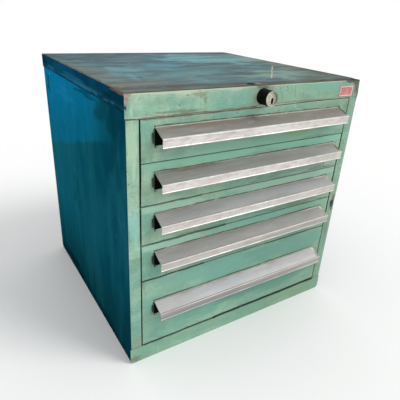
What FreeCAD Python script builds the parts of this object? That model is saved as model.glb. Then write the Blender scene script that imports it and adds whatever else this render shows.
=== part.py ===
import FreeCAD, Part
import math
import os
from types import SimpleNamespace

import Sketcher

# Tool cabinet: a free-standing steel cabinet with four low drawers over one deep drawer,
# full-width aluminium pulls and one key lock that holds all the drawers through a bar at the back.
#
# Millimetres, +Z up. The drawer fronts face -Y and +X is on the right of someone who faces them.
# The origin is on the floor, under the middle of the outline with its pulls.
# Inside this file Y is counted from the plane of the drawer fronts, and every piece is then
# moved by the same distance to centre the outline.

SMALL_DRAWERS = 4
DRAWERS = SMALL_DRAWERS + 1
LEFT = -1
RIGHT = 1
SAME_PLACE = 1e-4

SIZES = {
    # Outline of the steel case
    "cabinet_width": 692,
    "cabinet_depth": 654,
    "cabinet_height": 700,
    "carcase_sheet": 1.5,
    "drawer_sheet": 1.2,
    "bend_radius": 2,
    "seam": 0.4,
    # Front view
    "header_height": 47,
    "base_height": 47,
    "stile_width": 31.5,
    "stile_return": 20,
    "side_gap": 3,
    "front_gap": 2,
    "base_gap": 4,
    "small_pitch": 100,
    # Top cover, side panels and base
    "cover_flange": 37,
    "cover_wrap": 6,
    "header_return": 12,
    "side_clearance": 8,
    "rear_flange": 20,
    "foot_return": 20,
    "base_corner": 10,
    # Posts that carry the slides
    "post_face": 25,
    "post_width": 40,
    "post_sheet": 1.5,
    "post_front": 22,
    "post_rear_gap": 21.5,
    "slot_pitch": 25,
    "slot_width": 14,
    "slot_height": 5,
    "slot_margin": 20,
    # Drawer slides: rail on the posts, carriage with rollers, runner on the tray
    "rail_height": 30,
    "rail_depth": 10.5,
    "rail_sheet": 1.5,
    "rail_rear_gap": 17.5,
    "carriage_gap": 0.6,
    "carriage_sheet": 1.6,
    "carriage_height": 26,
    "carriage_front": 24,
    "carriage_rear_gap": 29.5,
    "runner_front_gap": 2,
    "runner_rear_gap": 2,
    "roller_clearance": 0.3,
    "roller_width": 6.8,
    "roller_end": 16,
    "axle_radius": 3,
    "axle_clearance": 0.3,
    "axle_end": 0.8,
    "drawer_travel": 580,
    # Drawer trays and fronts
    "front_depth": 18,
    "front_return": 18,
    "rear_space": 31.5,
    "tray_lift": 6,
    "tray_top_gap": 10,
    "tray_rim": 10,
    "slide_rise": 41,
    # Pulls and their label strips
    "handle_length": 559,
    "handle_reach": 38,
    "handle_drop": 17.5,
    "handle_lip": 20,
    "handle_flange": 41,
    "handle_wall": 2,
    "handle_bead": 3.5,
    "handle_edge": 0.8,
    "small_handle_top": 22.5,
    "large_handle_top": 69,
    "label_recess": 1.2,
    "label_thickness": 1,
    "label_fit": 0.2,
    "label_short": 9,
    # Lock on the header
    "lock_rise": 21.5,
    "lock_radius": 18.2,
    "lock_reach": 34,
    "lock_chamfer": 1.2,
    "rosette_radius": 18.8,
    "rosette_thickness": 2,
    "lock_body_radius": 13.7,
    "lock_body_length": 14,
    "lock_fit": 0.3,
    "nut_across_flats": 34,
    "nut_thickness": 5,
    "plug_radius": 10,
    "plug_head_radius": 13,
    "plug_head_length": 16,
    "plug_recess": 0.6,
    "plug_tail": 2,
    "key_slot_width": 5,
    "key_slot_height": 12.5,
    "key_slot_depth": 14,
    "key_slot_drop": 4.5,
    # Lock linkage at the back: shaft, cam, bar, hooks and the catches on the trays
    "shaft_radius": 5,
    "cam_radius": 14,
    "cam_thickness": 4,
    "cam_gap": 4,
    "pin_radius": 2.5,
    "pin_throw": 9,
    "pin_end": 3,
    "bar_width": 24,
    "bar_thickness": 3,
    "bar_rear_gap": 6.5,
    "bar_head_height": 24,
    "bar_slot_clearance": 0.65,
    "bar_foot": 8,
    "bracket_sheet": 2,
    "bracket_half_width": 22,
    "bracket_height": 36,
    "bracket_gap": 4,
    "guide_wall": 2,
    "guide_fit": 0.4,
    "guide_height": 14,
    "guide_rise": 62,
    "catch_width": 20,
    "catch_thickness": 2,
    "catch_reach": 16,
    "catch_lip": 12,
    "catch_rise": 20,
    "hook_width": 16,
    "hook_lip": 13,
    "hook_clearance": 3,
    "hook_play": 5,
    # Plate on the header and the screws of the back panel
    "plate_width": 50,
    "plate_height": 26.5,
    "plate_thickness": 1.2,
    "plate_corner": 2,
    "plate_side": 53.5,
    "plate_rise": 18.5,
    "screw_radius": 2,
    "screw_head_radius": 4.2,
    "screw_head_height": 1.3,
    "screw_fit": 0.3,
    "screw_side": 12,
    "screw_end": 60,
}
SCREWS_PER_SIDE = 4

document = FreeCAD.newDocument("ToolCabinet")
sheet = document.addObject("Spreadsheet::Sheet", "Dimensions")
for row, (alias, value) in enumerate(SIZES.items(), start=1):
    sheet.set(f"A{row}", alias)
    sheet.set(f"B{row}", str(value))
    sheet.setAlias(f"B{row}", alias)
document.recompute()


class Size:
    """A length with its value now and the sheet formula that keeps it bound."""

    def __init__(self, value, formula):
        self.value = float(value)
        self.formula = formula

    def _join(self, other, sign, value):
        return Size(value, f"({self.formula} {sign} {as_size(other).formula})")

    def __add__(self, other):
        return self._join(other, "+", self.value + as_size(other).value)

    def __sub__(self, other):
        return self._join(other, "-", self.value - as_size(other).value)

    def __mul__(self, other):
        return self._join(other, "*", self.value * as_size(other).value)

    def __truediv__(self, other):
        return self._join(other, "/", self.value / as_size(other).value)

    def __radd__(self, other):
        return as_size(other) + self

    def __rsub__(self, other):
        return as_size(other) - self

    def __rmul__(self, other):
        return as_size(other) * self

    def __neg__(self):
        return as_size(0) - self

    def root(self):
        return Size(math.sqrt(self.value), f"sqrt({self.formula})")


def as_size(number):
    return number if isinstance(number, Size) else Size(number, str(number))


d = SimpleNamespace(**{name: Size(value, f"Dimensions.{name}") for name, value in SIZES.items()})


class Piece:
    """One sub-part: a PartDesign body whose sketches and features are bound to the sheet.

    Sketch planes are named by their two axes. A level is the plane's place along the third axis,
    and a direction of +1 or -1 points along that axis.
    """

    NORMAL = {"XY": 1, "XZ": -1, "YZ": 1}

    def __init__(self, label):
        self.body = document.addObject("PartDesign::Body", label)
        self.body.Label = label
        self.body.AllowCompound = True

    def origin(self, role):
        for feature in self.body.Origin.OriginFeatures:
            if feature.Role == role:
                return feature
        raise ValueError(role)

    def sketch(self, plane, level=0):
        sketch = self.body.newObject("Sketcher::SketchObject", "Sketch")
        sketch.AttachmentSupport = [(self.origin(f"{plane}_Plane"), "")]
        sketch.MapMode = "FlatFace"
        offset = as_size(level) * self.NORMAL[plane]
        sketch.setExpression("AttachmentOffset.Base.z", offset.formula)
        return sketch

    def hold_point(self, geometry, corner, x, y):
        """The two constraints that hold one point of a sketch at x, y, with their formulas."""
        held = []
        for kind, distance, axis in (("DistanceX", x, -2), ("DistanceY", y, -1)):
            size = as_size(distance)
            if size.formula == "0":
                held.append((Sketcher.Constraint("PointOnObject", geometry, corner, axis), None))
            else:
                held.append((Sketcher.Constraint(kind, geometry, corner, size.value), size.formula))
        return held

    def add_constraints(self, sketch, held):
        indexes = sketch.addConstraint([constraint for constraint, _ in held])
        for index, (_, formula) in zip(indexes, held):
            if formula:
                sketch.setExpression(f"Constraints[{index}]", formula)

    def outline(self, plane, points, level=0, sketch=None):
        """Closed straight-sided outline through the points."""
        sketch = sketch or self.sketch(plane, level)
        first = sketch.GeometryCount
        corners = [FreeCAD.Vector(as_size(x).value, as_size(y).value, 0) for x, y in points]
        for here, there in zip(corners, corners[1:] + corners[:1]):
            sketch.addGeometry(Part.LineSegment(here, there), False)
        count = len(points)
        held = []
        for index, (x, y) in enumerate(points):
            following = first + (index + 1) % count
            held.append((Sketcher.Constraint("Coincident", first + index, 2, following, 1), None))
            held += self.hold_point(first + index, 1, x, y)
        self.add_constraints(sketch, held)
        return sketch

    def rectangle(self, plane, x0, x1, y0, y1, level=0, sketch=None):
        return self.outline(plane, [(x0, y0), (x1, y0), (x1, y1), (x0, y1)], level, sketch)

    def circle(self, plane, x, y, radius, level=0, sketch=None):
        sketch = sketch or self.sketch(plane, level)
        index = sketch.GeometryCount
        centre = FreeCAD.Vector(as_size(x).value, as_size(y).value, 0)
        normal = FreeCAD.Vector(0, 0, 1)
        size = as_size(radius)
        sketch.addGeometry(Part.Circle(centre, normal, size.value), False)
        held = self.hold_point(index, 3, x, y)
        held.append((Sketcher.Constraint("Radius", index, size.value), size.formula))
        self.add_constraints(sketch, held)
        return sketch

    def pad(self, plane, sketch, length, direction=1):
        feature = self.body.newObject("PartDesign::Pad", "Pad")
        feature.Profile = sketch
        feature.Reversed = direction != self.NORMAL[plane]
        feature.setExpression("Length", as_size(length).formula)
        return feature

    def pad_both_ways(self, sketch, length):
        feature = self.body.newObject("PartDesign::Pad", "Pad")
        feature.Profile = sketch
        feature.Midplane = True
        feature.setExpression("Length", as_size(length).formula)
        return feature

    def pocket(self, plane, sketch, length=None, direction=1):
        """Cut along the axis, or right through both ways when no length is given."""
        feature = self.body.newObject("PartDesign::Pocket", "Pocket")
        feature.Profile = sketch
        if length is None:
            feature.Type = "ThroughAll"
            feature.Midplane = True
        else:
            feature.Reversed = direction == self.NORMAL[plane]
            feature.setExpression("Length", as_size(length).formula)
        return feature

    def revolve(self, sketch, axis):
        feature = self.body.newObject("PartDesign::Revolution", "Revolution")
        feature.Profile = sketch
        feature.ReferenceAxis = (self.origin(axis), [""])
        feature.Angle = 360
        return feature

    def mirror(self, features, plane="YZ_Plane"):
        feature = self.body.newObject("PartDesign::Mirrored", "Mirrored")
        feature.Originals = features
        feature.MirrorPlane = (self.origin(plane), [""])
        self.body.Tip = feature
        return feature

    def repeat(self, features, axis, pitch, count):
        feature = self.body.newObject("PartDesign::LinearPattern", "Row")
        feature.Originals = features
        feature.Direction = (self.origin(axis), [""])
        feature.setExpression("Length", (as_size(pitch) * (count - 1)).formula)
        feature.Occurrences = count
        self.body.Tip = feature
        return feature

    def round_edges(self, radius, axes, chosen):
        """Fillet the straight edges along any of the axes whose middle point passes the test."""
        tip = self.body.Tip
        document.recompute([tip])
        names = []
        for number, edge in enumerate(tip.Shape.Edges, start=1):
            start, end = edge.firstVertex().Point, edge.lastVertex().Point
            straight = edge.Curve.TypeId == "Part::GeomLine"
            if straight and way_of(end - start) in axes and chosen((start + end) * 0.5):
                names.append(f"Edge{number}")
        if not names:
            raise RuntimeError(f"{self.body.Label}: no edge to round")
        feature = self.body.newObject("PartDesign::Fillet", "Fillet")
        feature.Base = (tip, names)
        feature.setExpression("Radius", as_size(radius).formula)
        return feature

    def place(self, height=0, across=0):
        self.body.setExpression("Placement.Base.x", as_size(across).formula)
        self.body.setExpression("Placement.Base.y", FRONT_Y.formula)
        self.body.setExpression("Placement.Base.z", as_size(height).formula)


def near(a, b):
    return abs(a - as_size(b).value) < SAME_PLACE


def way_of(run):
    """Name of the axis that a straight run lies along."""
    lengths = {"X": abs(run.x), "Y": abs(run.y), "Z": abs(run.z)}
    along = [axis for axis, length in lengths.items() if length > SAME_PLACE]
    return along[0] if len(along) == 1 else "slanted"


# Places that several pieces share, worked out from the sheet.
FRONT_Y = (d.handle_reach - d.cabinet_depth) / 2
HALF_WIDTH = d.cabinet_width / 2
PANEL_SIDE = HALF_WIDTH - d.carcase_sheet
INNER_SIDE = HALF_WIDTH - 2 * d.carcase_sheet
BACK_INSIDE = d.cabinet_depth - 3 * d.carcase_sheet
HEADER_BOTTOM = d.cabinet_height - d.header_height
OPENING_SIDE = HALF_WIDTH - d.stile_width
FRONT_SIDE = OPENING_SIDE - d.side_gap
RAIL_OUTSIDE = HALF_WIDTH - d.post_face
RAIL_INSIDE = RAIL_OUTSIDE - d.rail_depth
CARRIAGE_OUTSIDE = RAIL_INSIDE - d.carriage_gap
CARRIAGE_INSIDE = CARRIAGE_OUTSIDE - d.carriage_sheet
RUNNER_OUTSIDE = CARRIAGE_INSIDE - d.carriage_gap
TRAY_SIDE = RUNNER_OUTSIDE - d.rail_depth
TRAY_REAR = BACK_INSIDE - d.rear_space
LOCK_Z = HEADER_BOTTOM + d.lock_rise
BAR_REAR = BACK_INSIDE - d.bar_rear_gap
BAR_FRONT = BAR_REAR - d.bar_thickness
CAM_REAR = BAR_FRONT - d.cam_gap
SHAFT_REAR = CAM_REAR - d.cam_thickness
PIN_SIDE = d.pin_throw / as_size(2).root()


def drawer_top(number):
    """Top of the space that one drawer takes in the front, counted from 1 at the top."""
    return HEADER_BOTTOM - (number - 1) * d.small_pitch


def drawer_bottom(number):
    if number < DRAWERS:
        return drawer_top(number + 1)
    return d.base_height + d.base_gap


def tray_bottom(number):
    return drawer_bottom(number) + d.tray_lift


def handle_top(number):
    margin = d.small_handle_top if number < DRAWERS else d.large_handle_top
    return drawer_top(number) - margin


def side_name(side):
    return "left" if side == LEFT else "right"


def make_side_panel(side):
    """Pressed side: outer wall, front stile with its return, and a rear flange."""
    piece = Piece(f"side_panel_{side_name(side)}")
    outer = side * PANEL_SIDE
    inner = side * INNER_SIDE
    opening = side * OPENING_SIDE
    return_face = side * (OPENING_SIDE + d.carcase_sheet)
    flange = side * (HALF_WIDTH - d.rear_flange)
    rear = d.cabinet_depth - d.carcase_sheet
    top = d.cabinet_height - d.carcase_sheet
    plan = [
        (outer, 0),
        (opening, 0),
        (opening, d.stile_return),
        (return_face, d.stile_return),
        (return_face, d.carcase_sheet),
        (inner, d.carcase_sheet),
        (inner, rear - d.carcase_sheet),
        (flange, rear - d.carcase_sheet),
        (flange, rear),
        (outer, rear),
    ]
    sketch = piece.outline("XY", plan, d.side_clearance)
    piece.pad("XY", sketch, top - d.side_clearance)
    piece.round_edges(d.bend_radius, "Z", lambda p: near(p.y, 0))
    past = d.bend_radius
    notch = [
        (side * HALF_WIDTH, -past),
        (side * (OPENING_SIDE - past), -past),
        (side * (OPENING_SIDE - past), d.stile_return + past),
        (inner, d.stile_return + past),
        (inner, d.carcase_sheet + d.seam),
        (side * HALF_WIDTH, d.carcase_sheet + d.seam),
    ]
    header_seam = HEADER_BOTTOM - d.seam
    base_seam = d.base_height + d.seam
    upper = piece.outline("XY", notch, header_seam)
    piece.pocket("XY", upper, d.header_height + d.seam)
    lower = piece.outline("XY", notch, base_seam)
    piece.pocket("XY", lower, base_seam, direction=-1)
    holes = piece.sketch("XZ", rear)
    across = side * (HALF_WIDTH - d.screw_side)
    for height in screw_heights():
        piece.circle("XZ", across, height, d.screw_radius + d.screw_fit, sketch=holes)
    piece.pocket("XZ", holes, 2 * d.carcase_sheet, direction=-1)
    piece.place()


def screw_heights():
    """Heights of the back panel's screws, evenly spaced on each side."""
    low = d.base_height + d.screw_end
    high = HEADER_BOTTOM - d.screw_end
    step = (high - low) / (SCREWS_PER_SIDE - 1)
    return [low + number * step for number in range(SCREWS_PER_SIDE)]


def make_top_cover():
    """Pressed lid: its front flange is the header, with a hole for the lock."""
    piece = Piece("top_cover")
    block = piece.rectangle("XY", -HALF_WIDTH, HALF_WIDTH, 0, d.cabinet_depth, HEADER_BOTTOM)
    piece.pad("XY", block, d.header_height)
    depth = d.cabinet_depth
    piece.round_edges(d.bend_radius, "XYZ", lambda p: not near(p.z, HEADER_BOTTOM))
    inside = d.carcase_sheet
    hollow = piece.rectangle("XY", -PANEL_SIDE, PANEL_SIDE, inside, depth - inside, HEADER_BOTTOM)
    piece.pocket("XY", hollow, d.header_height - d.carcase_sheet)
    flange_bottom = d.cabinet_height - d.cover_flange
    past = 2 * d.cabinet_depth
    trim = piece.rectangle("YZ", d.cover_wrap, past, HEADER_BOTTOM - inside, flange_bottom)
    piece.pocket("YZ", trim)
    back = d.carcase_sheet + d.header_return
    lip = piece.rectangle("XY", -INNER_SIDE, INNER_SIDE, d.carcase_sheet / 2, back, HEADER_BOTTOM)
    piece.pad("XY", lip, d.carcase_sheet)
    hole = piece.circle("XZ", 0, LOCK_Z, d.lock_body_radius + d.lock_fit)
    piece.pocket("XZ", hole, 2 * d.carcase_sheet)
    piece.place()


def make_bottom_pan():
    """Base tray turned upside down: front strip, floor, three walls and the foot returns."""
    piece = Piece("bottom_pan")
    strip = piece.rectangle("XZ", -HALF_WIDTH, HALF_WIDTH, 0, d.base_height)
    piece.pad("XZ", strip, d.carcase_sheet)
    piece.round_edges(d.base_corner, "Y", lambda p: near(p.z, 0))
    rear = BACK_INSIDE
    block = piece.rectangle("XY", -INNER_SIDE, INNER_SIDE, d.carcase_sheet, rear)
    piece.pad("XY", block, d.base_height)
    foot = d.foot_return
    opening = piece.rectangle("XY", -(INNER_SIDE - foot), INNER_SIDE - foot, foot, rear - foot)
    piece.pocket("XY", opening, d.carcase_sheet)
    wall = INNER_SIDE - d.carcase_sheet
    cavity = piece.rectangle("XY", -wall, wall, d.carcase_sheet, rear - d.carcase_sheet, d.carcase_sheet)
    piece.pocket("XY", cavity, d.base_height - 2 * d.carcase_sheet)
    piece.place()


def make_back_panel():
    piece = Piece("back_panel")
    low = d.side_clearance
    high = d.cabinet_height - d.carcase_sheet
    wall = piece.rectangle("XZ", -INNER_SIDE, INNER_SIDE, low, high, BACK_INSIDE)
    piece.pad("XZ", wall, d.carcase_sheet)
    holes = piece.sketch("XZ", BACK_INSIDE)
    for side in (LEFT, RIGHT):
        for height in screw_heights():
            across = side * (HALF_WIDTH - d.screw_side)
            piece.circle("XZ", across, height, d.screw_radius + d.screw_fit, sketch=holes)
    piece.pocket("XZ", holes, 2 * d.carcase_sheet)
    piece.place()


def make_back_screws():
    """Screws that hold the back panel to the rear flanges, as one group."""
    piece = Piece("back_screws")
    flange_face = d.cabinet_depth - d.carcase_sheet
    heads = piece.sketch("XZ", flange_face)
    shanks = piece.sketch("XZ", flange_face)
    for side in (LEFT, RIGHT):
        for height in screw_heights():
            across = side * (HALF_WIDTH - d.screw_side)
            piece.circle("XZ", across, height, d.screw_head_radius, sketch=heads)
            piece.circle("XZ", across, height, d.screw_radius, sketch=shanks)
    piece.pad("XZ", heads, d.screw_head_height)
    piece.pad("XZ", shanks, 3 * d.carcase_sheet, direction=-1)
    piece.place()


def make_post(side, end):
    """Slotted post of channel section behind the stile, or in front of the back panel."""
    piece = Piece(f"upright_{end}_{side_name(side)}")
    start = d.post_front if end == "front" else BACK_INSIDE - d.post_rear_gap - d.post_width
    stop = start + d.post_width
    wall = side * INNER_SIDE
    face = side * RAIL_OUTSIDE
    web = side * (RAIL_OUTSIDE + d.post_sheet)
    plan = [
        (wall, start),
        (face, start),
        (face, stop),
        (wall, stop),
        (wall, stop - d.post_sheet),
        (web, stop - d.post_sheet),
        (web, start + d.post_sheet),
        (wall, start + d.post_sheet),
    ]
    sketch = piece.outline("XY", plan, d.base_height)
    length = HEADER_BOTTOM - d.base_height
    piece.pad("XY", sketch, length)
    middle = (start + stop) / 2
    low = d.base_height + d.slot_margin
    slot = piece.rectangle(
        "YZ",
        middle - d.slot_width / 2,
        middle + d.slot_width / 2,
        low,
        low + d.slot_height,
    )
    cut = piece.pocket("YZ", slot)
    usable = length - 2 * d.slot_margin - d.slot_height
    count = int(usable.value // d.slot_pitch.value) + 1
    piece.repeat([cut], "Z_Axis", d.slot_pitch, count)
    piece.place()


def channel(inside, outside, web, height, thickness):
    """Section of a channel that opens from its web at 'outside' towards 'inside'."""
    half = height / 2
    return [
        (outside, -half),
        (inside, -half),
        (inside, thickness - half),
        (web, thickness - half),
        (web, half - thickness),
        (inside, half - thickness),
        (inside, half),
        (outside, half),
    ]


def make_slide_rails(number):
    """Fixed channels on the posts, one each side of the drawer."""
    piece = Piece(f"slide_rails_{number}")
    web = RAIL_OUTSIDE - d.rail_sheet
    section = channel(RAIL_INSIDE, RAIL_OUTSIDE, web, d.rail_height, d.rail_sheet)
    sketch = piece.outline("XZ", section, d.post_front)
    length = BACK_INSIDE - d.rail_rear_gap - d.post_front
    rail = piece.pad("XZ", sketch, length)
    piece.mirror([rail])
    piece.place(tray_bottom(number) + d.slide_rise)


def roller_places():
    """Distances from the front plane of the rollers that run in the rails and in the runners."""
    carriage_rear = BACK_INSIDE - d.carriage_rear_gap
    runner_rear = TRAY_REAR - d.runner_rear_gap
    in_rail = [d.post_front + d.drawer_travel / 2 + d.roller_end, carriage_rear - d.roller_end]
    in_runner = [d.carriage_front + d.roller_end, runner_rear - d.drawer_travel / 2 - d.roller_end]
    return in_rail, in_runner


def roller_radius():
    return d.rail_height / 2 - d.rail_sheet - d.roller_clearance


def make_carriages(number):
    """Flat carriage bars with their roller axles, one each side of the drawer."""
    piece = Piece(f"carriages_{number}")
    half = d.carriage_height / 2
    rear = BACK_INSIDE - d.carriage_rear_gap
    bar = piece.rectangle("YZ", d.carriage_front, rear, -half, half, CARRIAGE_INSIDE)
    features = [piece.pad("YZ", bar, d.carriage_sheet)]
    in_rail, in_runner = roller_places()
    axle_length = d.roller_width + d.axle_end
    outward = piece.sketch("YZ", CARRIAGE_OUTSIDE)
    for place in in_rail:
        piece.circle("YZ", place, 0, d.axle_radius, sketch=outward)
    features.append(piece.pad("YZ", outward, axle_length))
    inward = piece.sketch("YZ", CARRIAGE_INSIDE)
    for place in in_runner:
        piece.circle("YZ", place, 0, d.axle_radius, sketch=inward)
    features.append(piece.pad("YZ", inward, axle_length, direction=-1))
    piece.mirror(features)
    piece.place(tray_bottom(number) + d.slide_rise)


def make_carriage_rollers(number):
    """Rollers on the carriage axles: two in each rail and two in each runner."""
    piece = Piece(f"carriage_rollers_{number}")
    bore = d.axle_radius + d.axle_clearance
    in_rail, in_runner = roller_places()
    outward = piece.sketch("YZ", CARRIAGE_OUTSIDE)
    for place in in_rail:
        piece.circle("YZ", place, 0, roller_radius(), sketch=outward)
        piece.circle("YZ", place, 0, bore, sketch=outward)
    outer = piece.pad("YZ", outward, d.roller_width)
    inward = piece.sketch("YZ", CARRIAGE_INSIDE)
    for place in in_runner:
        piece.circle("YZ", place, 0, roller_radius(), sketch=inward)
        piece.circle("YZ", place, 0, bore, sketch=inward)
    inner = piece.pad("YZ", inward, d.roller_width, direction=-1)
    piece.mirror([outer, inner])
    piece.place(tray_bottom(number) + d.slide_rise)


def make_drawer_runners(number):
    """Channels on the tray's sides, open outwards, that ride on the carriages."""
    piece = Piece(f"drawer_runners_{number}")
    web = TRAY_SIDE + d.rail_sheet
    section = channel(RUNNER_OUTSIDE, TRAY_SIDE, web, d.rail_height, d.rail_sheet)
    start = d.front_depth + d.runner_front_gap
    sketch = piece.outline("XZ", section, start)
    runner = piece.pad("XZ", sketch, TRAY_REAR - d.runner_rear_gap - start)
    piece.mirror([runner])
    piece.place(tray_bottom(number) + d.slide_rise)


def make_drawer_tray(number):
    """Open steel tray with a folded rim, and the catch behind it for the lock bar's hook."""
    piece = Piece(f"drawer_tray_{number}")
    front = d.front_depth
    thin = d.drawer_sheet
    height = drawer_top(number) - d.front_gap - d.tray_top_gap - tray_bottom(number)
    block = piece.rectangle("XY", -TRAY_SIDE, TRAY_SIDE, front, TRAY_REAR)
    piece.pad("XY", block, height)
    rim = d.tray_rim
    mouth = piece.rectangle("XY", rim - TRAY_SIDE, TRAY_SIDE - rim, front + rim, TRAY_REAR - rim, height)
    piece.pocket("XY", mouth, thin, direction=-1)
    inside = piece.rectangle(
        "XY", thin - TRAY_SIDE, TRAY_SIDE - thin, front + thin, TRAY_REAR - thin, height - thin
    )
    piece.pocket("XY", inside, height - 2 * thin, direction=-1)
    low = d.catch_rise
    top = low + d.catch_thickness
    reach = TRAY_REAR + d.catch_reach
    catch = [
        (TRAY_REAR - thin / 2, low),
        (reach, low),
        (reach, top + d.catch_lip),
        (reach - d.catch_thickness, top + d.catch_lip),
        (reach - d.catch_thickness, top),
        (TRAY_REAR - thin / 2, top),
    ]
    piece.pad_both_ways(piece.outline("YZ", catch), d.catch_width)
    piece.place(tray_bottom(number))


def make_drawer_front(number):
    """Pressed front: flat face with its edges folded back, and in again where the tray is fixed."""
    piece = Piece(f"drawer_front_{number}")
    thin = d.drawer_sheet
    top = drawer_top(number) - d.front_gap - drawer_bottom(number)
    face = piece.rectangle("XZ", -FRONT_SIDE, FRONT_SIDE, 0, top)
    piece.pad("XZ", face, d.front_depth)
    piece.round_edges(d.bend_radius, "X", lambda p: near(p.y, 0))
    piece.round_edges(d.bend_radius, "Z", lambda p: p.y < d.bend_radius.value)
    back = d.front_return
    mouth = piece.rectangle("XZ", back - FRONT_SIDE, FRONT_SIDE - back, back, top - back, d.front_depth)
    piece.pocket("XZ", mouth, thin, direction=-1)
    rear = d.front_depth - thin
    inside = piece.rectangle("XZ", thin - FRONT_SIDE, FRONT_SIDE - thin, thin, top - thin, rear)
    piece.pocket("XZ", inside, rear - thin, direction=-1)
    piece.place(drawer_bottom(number))


def slope_height(distance):
    """Height of the pull's sloping top face at a distance in front of the drawer."""
    return -distance * d.handle_drop / d.handle_reach


def slope_thickness(thickness):
    """Upright thickness of a layer that lies on the slope."""
    ratio = d.handle_drop / d.handle_reach
    return thickness * (1 + ratio * ratio).root()


def make_drawer_handle(number):
    """Aluminium section: flange on the drawer, sloping label face and an upright finger lip."""
    piece = Piece(f"drawer_handle_{number}")
    reach = d.handle_reach
    wall = d.handle_wall
    bead = d.handle_bead
    recess = slope_thickness(d.label_recess)
    under = recess + slope_thickness(wall)
    lip_foot = -(d.handle_drop + d.handle_lip)
    section = [
        (0, 0),
        (-bead, slope_height(bead)),
        (-bead, slope_height(bead) - recess),
        (bead - reach, slope_height(reach - bead) - recess),
        (bead - reach, slope_height(reach - bead)),
        (-reach, -d.handle_drop),
        (-reach, lip_foot),
        (wall - reach, lip_foot),
        (wall - reach, slope_height(reach - wall) - under),
        (-wall, slope_height(wall) - under),
        (-wall, -d.handle_flange),
        (0, -d.handle_flange),
    ]
    piece.pad_both_ways(piece.outline("YZ", section), d.handle_length)
    foot = lip_foot.value + d.handle_edge.value
    piece.round_edges(d.handle_edge, "X", lambda p: p.y < wall.value - reach.value + 1e-3 and p.z < foot)
    piece.round_edges(d.handle_edge, "X", lambda p: near(p.y, -reach) and near(p.z, -d.handle_drop))
    piece.place(handle_top(number))


def make_label_strip(number):
    """Plastic strip in the slope's shallow channel, a little shorter than the pull."""
    piece = Piece(f"label_strip_{number}")
    near_end = d.handle_bead + d.label_fit
    far_end = d.handle_reach - d.handle_bead - d.label_fit
    recess = slope_thickness(d.label_recess)
    thick = slope_thickness(d.label_thickness)
    section = [
        (-near_end, slope_height(near_end) - recess),
        (-near_end, slope_height(near_end) - recess + thick),
        (-far_end, slope_height(far_end) - recess + thick),
        (-far_end, slope_height(far_end) - recess),
    ]
    sketch = piece.outline("YZ", section, -d.handle_length / 2)
    piece.pad("YZ", sketch, d.handle_length - d.label_short)
    piece.place(handle_top(number))


def plug_face():
    return d.plug_recess - d.lock_reach


def plug_head_rear():
    return plug_face() + d.plug_head_length


def plug_rear():
    return d.lock_body_length + d.plug_tail


def make_lock_barrel():
    """Round lock housing that stands out of the header, with its base ring and threaded body."""
    piece = Piece("lock_barrel")
    bore = d.plug_radius + d.lock_fit
    head_bore = d.plug_head_radius + d.lock_fit
    section = [
        (head_bore, -d.lock_reach),
        (d.lock_radius - d.lock_chamfer, -d.lock_reach),
        (d.lock_radius, d.lock_chamfer - d.lock_reach),
        (d.lock_radius, -d.rosette_thickness),
        (d.rosette_radius, -d.rosette_thickness),
        (d.rosette_radius, 0),
        (d.lock_body_radius, 0),
        (d.lock_body_radius, d.lock_body_length),
        (bore, d.lock_body_length),
        (bore, plug_head_rear() + d.lock_fit),
        (head_bore, plug_head_rear() + d.lock_fit),
    ]
    piece.revolve(piece.outline("XY", section), "Y_Axis")
    piece.place(LOCK_Z)


def make_lock_nut():
    piece = Piece("lock_nut")
    half = d.nut_across_flats / 2
    side = half / as_size(3).root()
    corners = [(0, 2 * side), (half, side), (half, -side), (0, -2 * side), (-half, -side), (-half, side)]
    sketch = piece.outline("XZ", corners, d.carcase_sheet)
    piece.circle("XZ", 0, 0, d.lock_body_radius + d.lock_fit, sketch=sketch)
    piece.pad("XZ", sketch, d.nut_thickness)
    piece.place(LOCK_Z)


def make_lock_plug():
    """Turning core of the lock: a wide head with the key slot below its axis, and a narrower tail."""
    piece = Piece("lock_plug")
    tail = piece.circle("XZ", 0, 0, d.plug_radius, plug_face())
    piece.pad("XZ", tail, plug_rear() - plug_face())
    head = piece.circle("XZ", 0, 0, d.plug_head_radius, plug_face())
    piece.pad("XZ", head, d.plug_head_length)
    half = d.key_slot_width / 2
    high = d.key_slot_height / 2 - half - d.key_slot_drop
    low = half - d.key_slot_height / 2 - d.key_slot_drop
    slot = piece.rectangle("XZ", -half, half, low, high, plug_face())
    piece.pocket("XZ", slot, d.key_slot_depth)
    ends = piece.circle("XZ", 0, high, half, plug_face())
    piece.circle("XZ", 0, low, half, sketch=ends)
    piece.pocket("XZ", ends, d.key_slot_depth)
    piece.place(LOCK_Z)


def make_lock_shaft():
    """Long shaft from the lock core to the cam at the back."""
    piece = Piece("lock_shaft")
    rod = piece.circle("XZ", 0, 0, d.shaft_radius, plug_rear())
    piece.pad("XZ", rod, SHAFT_REAR - plug_rear())
    piece.place(LOCK_Z)


def make_lock_cam():
    """Disc at the shaft's end whose pin lifts and lowers the lock bar."""
    piece = Piece("lock_cam")
    disc = piece.circle("XZ", 0, 0, d.cam_radius, SHAFT_REAR)
    piece.pad("XZ", disc, d.cam_thickness)
    pin = piece.circle("XZ", PIN_SIDE, PIN_SIDE, d.pin_radius, SHAFT_REAR)
    piece.pad("XZ", pin, BAR_REAR + d.pin_end - SHAFT_REAR)
    piece.place(LOCK_Z)


def hook_bottom(number):
    """Lowest point of the hook over one drawer's catch, with the lock open."""
    return tray_bottom(number) + d.catch_rise + d.catch_thickness + d.catch_lip + d.hook_clearance


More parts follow.
